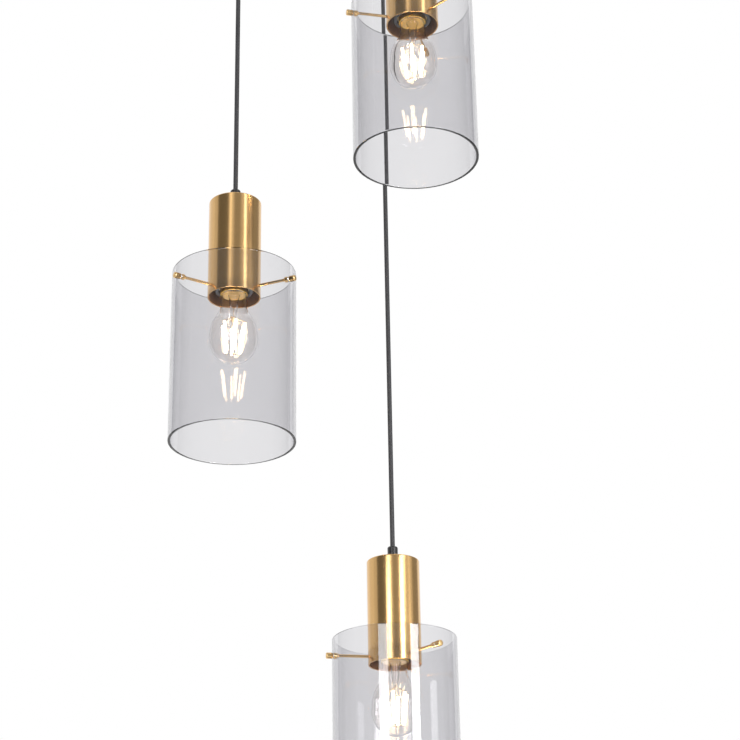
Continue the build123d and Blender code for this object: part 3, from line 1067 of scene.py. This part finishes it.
@dataclass
class FilamentBulb:
    """Clear ball-shaped bulb: screw base, insulator, blown glass with its stem, and a cage of light sticks."""

    pitch: float = 3.629
    base_radius: float = 13.05
    root_radius: float = 12.2
    base_bottom: float = -22.0
    collar: float = 4.0
    recess: float = 0.45
    recess_radius: float = 10.6
    rim_radius: float = 11.2
    turns: int = 5
    crown_radius: float = 7.0
    crown: tuple[float, float] = (1.4, 1.9)
    insulator_foot: float = 2.0
    insulator_radii: tuple[float, float] = (9.6, 6.1)
    insulator_top: float = 5.5
    ball: float = 23.3
    centre: float = -70.0
    wall: float = 0.7
    neck: float = 12.3
    waist: tuple[float, float] = (12.6, -34.0)
    flank: tuple[float, float] = (17.2, -45.3)
    shoulder: tuple[float, float] = (21.3, -53.5)
    waist_way: tuple[float, float] = (0.1, -0.995)
    flank_way: tuple[float, float] = (0.52, -0.854)
    shoulder_way: tuple[float, float] = (0.3, -0.954)
    cone_angle: float = 88.0
    knot_steps: int = 7
    ball_steps: int = 26
    stem: float = 4.3
    stem_bottom: float = -45.0
    stem_flare: tuple[float, float] = (1.6, 0.8)
    flare_height: float = 1.6
    stem_run: float = 6.0
    stem_pinch: tuple[float, float] = (0.8, 0.62)
    sticks: int = 6
    first_stick: float = 8.0
    stick_radius: float = 1.2
    stick_gap: float = 0.8
    stick_top: tuple[float, float] = (11.5, -52.0)
    stick_bottom: tuple[float, float] = (7.5, -83.0)
    wire: float = 0.3
    sleeve: float = 0.75
    sleeve_ends: tuple[float, float] = (-0.3, 1.1)
    bead: float = 0.9
    bead_edge: float = 0.85
    seat_gap: float = 0.05

    def base(self) -> list[Made]:
        """Turns the screw base, with a raised rim round its underside, and the insulator on top of it.

        Returns:
            The base and the insulator.
        """
        start = self.base_bottom + self.collar
        end = start + self.turns * self.pitch
        thread = Thread(self.root_radius, self.base_radius, self.pitch, start, end)
        plain = (self.root_radius + self.base_radius) / 2
        recess, rim = self.base_bottom + self.recess, self.base_bottom + self.seat_gap
        edge, crown = (end + rise for rise in self.crown)
        base = Bench.turn("lamp_base", [
            Corner(0, recess), Corner(self.recess_radius, recess, 0.3),
            Corner(self.rim_radius, rim, 0.3), Corner(self.base_radius, rim, 0.4),
            Corner(self.base_radius, start - 0.4, 0.3), *thread.rings(plain),
            Corner(self.root_radius - 1.0, edge, 0.5), Corner(self.crown_radius, crown), Corner(0, crown),
        ], steps=96)
        thread.wind(base, plain)
        Bench.smooth(base, sharp=50.0)
        foot = end + self.insulator_foot
        wide, narrow = self.insulator_radii
        insulator = Bench.turn("insulator", [
            Corner(0, foot), Corner(wide, foot, 0.4), Corner(narrow, self.insulator_top, 0.8),
            Corner(0, self.insulator_top),
        ], steps=72)
        Bench.smooth(insulator)
        return [Made(base, Finishes.BASE_BRASS, "bulb", "bulb_base"),
                Made(insulator, Finishes.INSULATOR, "bulb", "bulb_base")]

    def outer_line(self) -> list[Corner]:
        """Corners of the glass from the neck down over the cone and round the ball.

        Returns:
            The corners, in order.
        """
        angle = math.radians(self.cone_angle)
        knots = (
            (Vector((self.neck, self.base_bottom - self.seat_gap)), Vector((0.0, -1.0))),
            (Vector(self.waist), Vector(self.waist_way)),
            (Vector(self.flank), Vector(self.flank_way)),
            (Vector(self.shoulder), Vector(self.shoulder_way)),
            (Vector((self.ball * math.sin(angle), self.centre + self.ball * math.cos(angle))),
             Vector((math.cos(angle), -math.sin(angle)))),
        )
        line = []
        for (start, away), (end, into) in zip(knots, knots[1:]):
            pull = (end - start).length
            for i in range(self.knot_steps):
                t = i / self.knot_steps
                spot = (start * (1 - 3 * t**2 + 2 * t**3) + end * (3 * t**2 - 2 * t**3)
                        + away * pull * (t - 2 * t**2 + t**3) + into * pull * (t**3 - t**2))
                line.append(Corner(spot.x, spot.y))
        for i in range(self.ball_steps):
            turn = angle + (math.pi - angle) * i / self.ball_steps
            line.append(Corner(self.ball * math.sin(turn), self.centre + self.ball * math.cos(turn)))
        return [*line, Corner(0, self.centre - self.ball)]

    def globe(self) -> Made:
        """Blows the glass with its wall, and adds the stem that stands in its neck.

        Returns:
            The glass.
        """
        top = self.base_bottom - self.seat_gap
        glass = Bench.turn("glass", [Corner(0, top), *self.outer_line()], steps=112)
        Bench.thicken(glass, self.wall, -1.0)
        seat = top - self.wall - self.seat_gap
        wide, narrow = (self.stem + flare for flare in self.stem_flare)
        upper, lower = (self.stem * share for share in self.stem_pinch)
        stem = Bench.turn("stem", [
            Corner(wide, seat), Corner(narrow, seat - self.flare_height, 0.6),
            Corner(self.stem, seat - self.stem_run, 1.2), Corner(upper, self.stem_bottom + self.stem_run, 1.5),
            Corner(lower, self.stem_bottom, 1.4), Corner(0, self.stem_bottom),
        ], steps=48)
        Bench.thicken(stem, self.wall, -1.0)
        whole = Bench.join("bulb_glass", [glass, stem])
        Bench.smooth(whole, sharp=50.0)
        return Made(whole, Finishes.BULB_GLASS, "bulb", "bulb_globe")

    def cage(self) -> list[Made]:
        """Makes the light sticks, and the wires, sleeves and beads that carry them.

        Returns:
            The sticks, and what carries them.
        """
        top, low = (Vector((r, 0, z)) * MM for r, z in (self.stick_top, self.stick_bottom))
        length = (top - low).length / MM
        turns = Bench.round_turns(self.sticks, self.first_stick)
        stick = Bench.turn("stick", [
            Corner(0, self.stick_gap), Corner(self.stick_radius, self.stick_gap, 0.5),
            Corner(self.stick_radius, length - self.stick_gap, 0.5), Corner(0, length - self.stick_gap),
        ], steps=16)
        sticks = Bench.array(stick, "light_sticks", [turn @ Bench.between(low, top) for turn in turns])
        Bench.smooth(sticks)
        upper, lower = Vector((0, 0, self.stem_bottom - self.bead)), Vector((0, 0, low.z / MM - self.bead))
        parts = []
        for name, spot in (("upper_bead", upper), ("lower_bead", lower)):
            parts.append(Bench.turn(name, [
                Corner(0, spot.z - self.bead), Corner(self.bead, spot.z - self.bead, self.bead_edge),
                Corner(self.bead, spot.z + self.bead, self.bead_edge), Corner(0, spot.z + self.bead),
            ], steps=20))
        for near, far in ((upper * MM, top), (lower * MM, low)):
            run = (far - near).length / MM
            wire = Bench.turn("wire", [
                Corner(0, 0), Corner(self.wire, 0), Corner(self.wire, run), Corner(0, run),
            ], steps=10)
            parts.append(Bench.array(wire, "wires", [turn @ Bench.between(near, far) for turn in turns]))
        back, front = self.sleeve_ends
        for end, inward in ((top, low), (low, top)):
            sleeve = Bench.turn("sleeve", [
                Corner(0, back), Corner(self.sleeve, back, 0.2), Corner(self.sleeve, front, 0.2), Corner(0, front),
            ], steps=14)
            parts.append(Bench.array(sleeve, "sleeves", [turn @ Bench.between(end, inward) for turn in turns]))
        wires = Bench.join("support_wires", parts)
        Bench.smooth(wires)
        return [Made(sticks, Finishes.LIGHT_STICK, "bulb", "bulb_filaments"),
                Made(wires, Finishes.SUPPORT_WIRE, "bulb", "bulb_filaments")]

    def model(self) -> list[Made]:
        """All of the bulb but its contact, which the frame's own node shows."""
        return [*self.base(), self.globe(), *self.cage()]


@dataclass
class Pendants:
    """The three pendants, copied from one set of modelled pieces, with the frame's own inner pieces."""

    kept: tuple[tuple[str, Finishes], ...] = (
        ("lock_nuts", Finishes.ZINC_STEEL), ("spacer_tube", Finishes.ZINC_STEEL),
        ("holder_dome", Finishes.PHENOLIC), ("holder_core", Finishes.PORCELAIN),
        ("bulb_contact", Finishes.SOLDER), ("cord_bend", Finishes.SHEATH),
    )

    def build(self) -> None:
        """Models each piece once, sets a copy at each place and dresses it."""
        made = [GlassShade().model(), BrassCap().model(), CordGrip().model(), *Rods().model(),
                *Lampholder().model(), *FilamentBulb().model()]
        for piece in made:
            for level in Level:
                name = level.value.name
                twin = Bench.copy(piece.shape, f"{piece.shape.name}_{name}", level.value.place())
                dress(twin, piece.finish, f"{piece.body}_{name}", f"{piece.node}_{name}")
                if piece.inside:
                    twin.data.materials.append(piece.inside.value.material())
                    for face, model in zip(twin.data.polygons, piece.shape.data.polygons):
                        face.material_index = model.material_index
            bpy.data.objects.remove(piece.shape)
        for node, finish in self.kept:
            for level in Level:
                finish_node(f"{node}_{level.value.name}", finish)


def finish_node(node: str, finish: Finishes) -> None:
    """Gives a CAD node that stays a better material.

    Args:
        node: the node's name.
        finish: its finish.
    """
    shape = frame["nodes"][node]
    for slot in shape.material_slots:
        slot.material = finish.value.material()
    log.info("%s keeps its CAD mesh, %s", node, finish.value.name)


# ------------------------------------------------------------------ cords

@dataclass
class Cords:
    """The three cords, straight under their pendants' weight, from the canopy's grips into the caps' grips."""

    radius: float = 2.3
    start: float = -37.0
    grip_end: float = 88.0
    travel: float = 120.0
    run: float = 15.0

    def build(self) -> None:
        """One tube for each pendant, from the canopy's grip down into the cap's grip."""
        for level in Level:
            hanging = level.value
            end = self.grip_end - hanging.drop
            length = self.start - end
            count = math.ceil(length / self.run)
            heights = [self.start - length * i / count for i in range(count + 1)]
            outline = [Corner(0, self.start), *(Corner(self.radius, z) for z in heights), Corner(0, end)]
            cord = Bench.turn(f"flex_{hanging.name}", outline, steps=28)
            Bench.smooth(cord)
            cord.data.transform(Matrix.Translation(hanging.spot(0)))
            dress(cord, Finishes.SHEATH, f"hanging_{hanging.name}", f"cord_{hanging.name}")
            exit_point = hanging.spot(self.start)
            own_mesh(cord)
            2 * self.radius * MM
            [tuple(hanging.spot(z)) for z in heights]


@dataclass
class Tails:
    """The cords' inner ends, from the tops of the canopy's grips over to the terminal block."""

    radius: float = 2.3
    start: float = -19.0
    height: float = -7.2
    block_half_width: float = 9.0
    pole_pitch: float = 10.0
    lead_in: float = 16.0
    bulge: float = 9.0
    bulge_share: float = 0.45

    def route(self, hanging: Hanging) -> list[Vector]:
        """The points that a tail's line is drawn through.

        Args:
            hanging: the pendant's place.

        Returns:
            The points in metres.
        """
        side, pole = hanging.entry
        entry = Vector((side * self.block_half_width, pole * self.pole_pitch, self.height)) * MM
        before = entry + Vector((side * self.lead_in * MM, 0, 0))
        corner = hanging.spot(self.height)
        across = before - corner
        aside = Vector((-across.y, across.x, 0)).normalized() * self.bulge * MM
        return [hanging.spot(self.start), corner, corner + across * self.bulge_share + aside, before, entry]

    def build(self) -> None:
        """One curve for each tail."""
        for level in Level:
            hanging = level.value
            line = bpy.data.curves.new(f"tail_{hanging.name}", "CURVE")
            line.dimensions = "3D"
            spline = line.splines.new("NURBS")
            points = self.route(hanging)
            spline.points.add(len(points) - 1)
            for point, place in zip(spline.points, points):
                point.co = (*place, 1.0)
            spline.order_u, spline.use_endpoint_u = 3, True
            spline.resolution_u = 16
            line.bevel_depth, line.bevel_resolution, line.use_fill_caps = self.radius * MM, 5, True
            tail = bpy.data.objects.new(f"tail_{hanging.name}", line)
            bpy.context.scene.collection.objects.link(tail)
            dress(tail, Finishes.SHEATH, "canopy", "cord_tails")


# ------------------------------------------------------------------ canopy

@dataclass
class Canopy:
    """Pressed cup against the ceiling, its three cord grips and the side screws; the rest is the frame's own."""

    radius: float = 140.0
    depth: float = 25.0
    wall: float = 1.0
    edge: float = 3.0
    grip_hole: float = 5.05
    ring_margin: float = 11.0
    nose_length: float = 12.0
    nose_radius: float = 5.8
    foot_radius: float = 7.0
    foot_height: float = 2.5
    shank_radius: float = 4.9
    shank: float = 8.0
    bore: float = 2.4
    mouth: tuple[float, float] = (2.75, 3.3)
    mouth_depth: float = 2.5
    mouth_gap: float = 0.3
    screw_height: float = -9.0
    screw_radius: float = 2.0
    screw_inner_end: float = 131.0
    head_radius: float = 4.5
    head_length: float = 4.5
    flutes: int = 18
    flute_depth: float = 0.05
    rim_rounding: float = 0.3
    screw_play: float = 0.15
    screw_bore: float = 8.0
    seat_gap: float = 0.02
    head_gap: float = 0.1
    head_band: float = 0.8
    flute_margin: float = 0.3

    kept: tuple[tuple[str, Finishes], ...] = (
        ("mounting_bracket", Finishes.ZINC_STEEL), ("earth_screw", Finishes.ROD_BRASS),
        ("canopy_grip_nuts", Finishes.NYLON), ("terminal_block", Finishes.POLYAMIDE),
        ("terminal_screws", Finishes.ZINC_STEEL),
    )

    def cup(self) -> Shape:
        """Turns the cup, and drills the grips' holes and the screws' holes.

        Returns:
            The cup.
        """
        ring = Level.SHORT.value.ring
        low = -self.depth
        outline = [
            Corner(0, low), Corner(ring - self.ring_margin, low), Corner(ring + self.ring_margin, low),
            Corner(self.radius, low, self.edge), Corner(self.radius, 0, self.rim_rounding),
            Corner(self.radius - self.wall, 0, self.rim_rounding),
            Corner(self.radius - self.wall, low + self.wall, self.edge - self.wall),
            Corner(ring + self.ring_margin, low + self.wall), Corner(ring - self.ring_margin, low + self.wall),
            Corner(0, low + self.wall),
        ]
        cup = Bench.turn("cup", outline, steps=192)
        spots = [Matrix.Translation(level.value.spot(low + self.wall / 2)) for level in Level]
        Bench.drill(cup, self.grip_hole, 4 * self.wall, spots)
        across = Matrix.Translation((0, (self.radius - 1) * MM, self.screw_height * MM))
        across @= Matrix.Rotation(math.pi / 2, 4, "X")
        sides = [turn @ across for turn in Bench.round_turns(2)]
        Bench.drill(cup, self.screw_radius + self.screw_play, self.screw_bore, sides)
        Bench.smooth(cup)
        return cup

    def grips(self) -> Shape:
        """Turns a cord grip with its flared mouth, and sets one at each place.

        Returns:
            The three grips, as one piece.
        """
        low = -self.depth
        end = low - self.nose_length
        swing = end + self.mouth_depth
        narrow, wide = self.mouth
        above, foot, seat = swing + self.mouth_gap, low - self.foot_height, low - self.seat_gap
        grip = Bench.turn("nose", [
            Corner(wide, end, 0.2), Corner(self.nose_radius, end, 1.5), Corner(self.nose_radius, foot, 0.4),
            Corner(self.foot_radius, foot, 0.6), Corner(self.foot_radius, seat, 0.2),
            Corner(self.shank_radius, seat), Corner(self.shank_radius, low + self.shank, 0.4),
            Corner(self.bore, low + self.shank, 0.3), Corner(self.bore, above), Corner(narrow, above),
            Corner(narrow, swing),
        ], closed=True, steps=56)
        grips = Bench.array(grip, "grips", [Matrix.Translation(level.value.spot(0)) for level in Level])
        Bench.smooth(grips)
        return grips

    def screws(self) -> Shape:
        """Turns a thumb screw, its head fluted for the fingers, and sets it on both sides.

        Returns:
            The two screws, as one piece.
        """
        start = self.radius + self.head_gap
        end = self.radius + self.head_length
        screw = Bench.turn("screw", [
            Corner(0, self.screw_inner_end), Corner(self.screw_radius, self.screw_inner_end, 0.4),
            Corner(self.screw_radius, start), Corner(self.head_radius, start, 0.5),
            Corner(self.head_radius, start + self.head_band), Corner(self.head_radius, end - self.head_band),
            Corner(self.head_radius, end, 0.7), Corner(0, end),
        ], steps=4 * self.flutes)
        for point in screw.data.vertices:
            radius = math.hypot(point.co.x, point.co.y) / MM
            inside = start * MM < point.co.z < (end - self.head_gap) * MM
            if radius > self.head_radius - self.flute_margin and inside:
                wave = math.cos(self.flutes * math.atan2(point.co.y, point.co.x))
                share = 1 - self.flute_depth * (0.5 - 0.5 * wave)
                point.co.x, point.co.y = point.co.x * share, point.co.y * share
        lay = Matrix.Translation((0, 0, self.screw_height * MM)) @ Matrix.Rotation(-math.pi / 2, 4, "X")
        screws = Bench.array(screw, "thumb_screws", [turn @ lay for turn in Bench.round_turns(2)])
        Bench.smooth(screws, sharp=40.0)
        return screws

    def build(self) -> None:
        """Models and dresses the canopy."""
        dress(self.cup(), Finishes.POWDER_COAT, "canopy", "canopy_cup")
        dress(self.grips(), Finishes.NYLON, "canopy", "canopy_grips")
        dress(self.screws(), Finishes.POWDER_COAT, "canopy", "canopy_screws")
        for node, finish in self.kept:
            finish_node(node, finish)


# ------------------------------------------------------------------ studio

@dataclass(frozen=True)
class Card:
    """A tall studio card that only metal shows.

    Args:
        bearing: its middle, in degrees to the right of the camera as seen from it.
        width: the angle that it fills.
        level: how light it is.
    """

    bearing: float
    width: float
    level: float


@dataclass(frozen=True)
class Lamp:
    """A soft strip lamp.

    Args:
        bearing: its middle, in degrees to the right of the camera as seen from it.
        width: the angle that it fills.
        height: its own height in metres.
        middle: the height of its middle.
        level: how bright its face is, where 1 is white.
        colour: its colour.
        metal_only: whether it leaves the glass alone, so that it makes no strip on the shades.
    """

    bearing: float
    width: float
    height: float
    middle: float
    level: float
    colour: Colour
    metal_only: bool = False


@dataclass
class Studio:
    """White surroundings, a pale floor, grey cards, tall soft lamps and the camera at the photograph's angle.

    Lengths are in metres here.
    """

    eye: tuple[float, float, float] = (-0.2286, -1.6728, -1.4382)
    forward: tuple[float, float, float] = (0.1356, 0.9073, 0.3981)
    roll: float = -0.96
    lens: float = 93.5
    sensor: float = 36.0
    distance: float = 2.6
    clearance: float = 0.12
    card_facet: float = 6.0
    card_middle: float = 0.05
    card_height: float = 5.2
    floor_height: float = -4.2
    floor_radius: float = 9.0
    floor_lift: float = 0.18
    floor_facets: int = 128
    floor_deep: Colour = (0.86, 0.86, 0.86)
    floor_pale: Colour = (0.89, 0.89, 0.885)
    floor_roughness: float = 0.7
    floor_clouds: tuple[float, float, float] = (3.0, 3.0, 3.0)
    fill: float = 0.75

    cards: tuple[Card, ...] = (
        Card(-113.0, 34.0, 0.85), Card(-87.0, 18.0, 0.68), Card(-51.5, 51.0, 0.16), Card(-14.5, 23.0, 0.70),
        Card(12.0, 30.0, 0.32), Card(35.0, 16.0, 0.55), Card(50.5, 15.0, 0.60), Card(64.0, 12.0, 0.66),
        Card(75.0, 10.0, 0.95), Card(86.0, 12.0, 0.66), Card(112.0, 40.0, 0.32),
    )
    lamps: tuple[Lamp, ...] = (
        Lamp(50.0, 12.0, 2.7, 1.25, 3.0, (0.97, 0.95, 1.0), True),
        Lamp(-17.0, 9.0, 2.7, 1.25, 0.8, (1.0, 0.98, 1.0), True),
        Lamp(38.0, 15.0, 1.48, -0.86, 12.0, (1.0, 0.995, 1.0)),
        Lamp(-21.5, 18.0, 1.48, -0.86, 7.2, (0.98, 0.985, 1.0)),
        Lamp(74.6, 14.0, 1.2, -0.98, 2.5, (1.0, 1.0, 1.0)),
    )

    def bearing(self, degrees: float) -> Vector:
        """The level direction from the pendants at an angle to the right of the camera, as seen from it.

        Args:
            degrees: the angle.

        Returns:
            The direction.
        """
        toward = -Vector((self.forward[0], self.forward[1], 0)).normalized()
        right = Vector((-toward.y, toward.x, 0))
        turn = math.radians(degrees)
        return toward * math.cos(turn) + right * math.sin(turn)

    def place_camera(self) -> None:
        """Adds the camera and makes it the scene's."""
        Bench.clear()
        bpy.ops.object.camera_add(location=self.eye)
        camera = bpy.context.object
        camera.name = "camera"
        ahead = Vector(self.forward).normalized()
        right = ahead.cross(Vector((0, 0, 1))).normalized()
        up = right.cross(ahead)
        roll = math.radians(self.roll)
        right, up = (right * math.cos(roll) + up * math.sin(roll), up * math.cos(roll) - right * math.sin(roll))
        turn = Matrix((right, up, -ahead)).transposed()
        camera.matrix_world = Matrix.Translation(self.eye) @ turn.to_4x4()
        camera.data.lens, camera.data.sensor_width = self.lens, self.sensor
        bpy.context.scene.camera = camera
        log.info("camera placed")

    @staticmethod
    def spare_glass(light: bpy.types.Object) -> None:
        """Keeps a card's or lamp's mirror image off the glass, which is smooth, and leaves it on the metal.

        Args:
            light: the card or lamp.
        """
        spared = bpy.data.collections.new(f"spared_by_{light.name}")
        for shape in bpy.context.scene.objects:
            if shape.type == "MESH" and "glass" in shape.name:
                spared.objects.link(shape)
        light.light_linking.receiver_collection = spared
        for link in spared.collection_objects:
            link.light_linking.link_state = "EXCLUDE"

    def hang_card(self, number: int, card: Card) -> None:
        """Adds one card, curved round the lamp.

        Args:
            number: its number, for its name.
            card: the card.
        """
        facets = max(2, round(card.width / self.card_facet))
        Bench.clear()
        name = f"card_{number}"
        bpy.ops.mesh.primitive_plane_add(size=1.0)
        shape = bpy.context.object
        shape.name = name
        bpy.ops.object.mode_set(mode="EDIT")
        bpy.ops.mesh.subdivide(number_cuts=facets - 1)
        Bench.clear()
        for point in shape.data.vertices:
            way = self.bearing(card.bearing + card.width * point.co.x)
            height = self.card_middle + self.card_height * point.co.y
            point.co = Vector((0, 0, height)) + way * self.distance
        material = bpy.data.materials.new(name)
        board = Board(material)
        face = board.add("ShaderNodeEmission", None, {"Color": (*(card.level,) * 3, 1), "Strength": 1.0})
        board.add("ShaderNodeOutputMaterial", None, {"Surface": face})
        shape.data.materials.append(material)
        shape.visible_camera = shape.visible_diffuse = shape.visible_transmission = shape.visible_shadow = False
        self.spare_glass(shape)

    def hang_lamp(self, number: int, lamp: Lamp) -> None:
        """Adds one lamp, facing the pendants and nearer to them than the cards, which would hide it.

        Args:
            number: its number, for its name.
            lamp: the lamp.
        """
        way = self.bearing(lamp.bearing)
        distance = self.distance - self.clearance
        place = way * distance + Vector((0, 0, lamp.middle))
        Bench.clear()
        bpy.ops.object.light_add(type="AREA", location=place)
        light = bpy.context.object
        light.name = f"lamp_{number}"
        light.rotation_mode = "QUATERNION"
        light.rotation_quaternion = way.to_track_quat("Z", "Y")
        width = 2 * distance * math.tan(math.radians(lamp.width / 2))
        light.data.shape, light.data.size, light.data.size_y = "RECTANGLE", width, lamp.height
        light.data.energy = lamp.level * math.pi * width * lamp.height
        light.data.color = lamp.colour
        light.visible_camera = False
        if lamp.metal_only:
            self.spare_glass(light)

    @staticmethod
    def seen(board: Board, *kinds: str) -> Signal:
        """Tells rays of some kinds from the rest.

        Args:
            board: the material's or world's board.
            kinds: the kinds, as the Light Path node names them.

        Returns:
            1 for a ray of one of these kinds and 0 for any other.
        """
        total = sum(board.add("ShaderNodeLightPath", output=kind) for kind in kinds)
        return total.at_most(1.0)

    def lay_floor(self) -> None:
        """Adds the floor, well below the pendants and lifted a little towards white where it is seen."""
        Bench.clear()
        bpy.ops.mesh.primitive_circle_add(vertices=self.floor_facets, radius=self.floor_radius, fill_type="NGON",
                                          location=(0, 0, self.floor_height))
        floor = bpy.context.object
        floor.name = "floor"
        material = bpy.data.materials.new("pale_floor")
        board = Board(material)
        clouds = board.noise(self.floor_clouds, 2.0)
        seen = self.seen(board, "Is Camera Ray", "Is Transmission Ray")
        lift = board.blend((0.0,) * 3, (self.floor_lift,) * 3, seen)
        surface = board.principled({"Base Color": board.blend(self.floor_deep, self.floor_pale, clouds),
                                    "Roughness": self.floor_roughness,
                                    "Emission Color": lift, "Emission Strength": 1.0})
        board.add("ShaderNodeOutputMaterial", None, {"Surface": surface})
        floor.data.materials.append(material)
        floor.visible_glossy = False

    def light_world(self) -> None:
        """White where it is seen directly, in metal or through glass; a plain fill for the rest."""
        world = bpy.data.worlds.new("studio")
        bpy.context.scene.world = world
        board = Board(world)
        seen = self.seen(board, "Is Camera Ray", "Is Glossy Ray", "Is Transmission Ray")
        fill = board.add("ShaderNodeBackground", None, {"Color": (1, 1, 1, 1), "Strength": self.fill})
        white = board.add("ShaderNodeBackground", None, {"Color": (1, 1, 1, 1), "Strength": 1.0})
        both = board.add("ShaderNodeMixShader", None, {0: seen, 1: fill, 2: white})
        board.add("ShaderNodeOutputWorld", None, {"Surface": both})

    def build(self) -> None:
        """Lights the scene and lays the floor."""
        bpy.context.scene.view_settings.view_transform = "Standard"
        self.light_world()
        self.lay_floor()
        for number, lamp in enumerate(self.lamps):
            self.hang_lamp(number, lamp)
        for number, card in enumerate(self.cards):
            self.hang_card(number, card)
        log.info("studio lit")


def main() -> None:
    """Builds the lamp and its studio."""
    logging.basicConfig(level=logging.INFO, format="%(message)s")
    studio = Studio()
    studio.place_camera()
    Cords().build()
    Tails().build()
    Canopy().build()
    Pendants().build()
    studio.build()


if __name__ == "__main__":
    main()
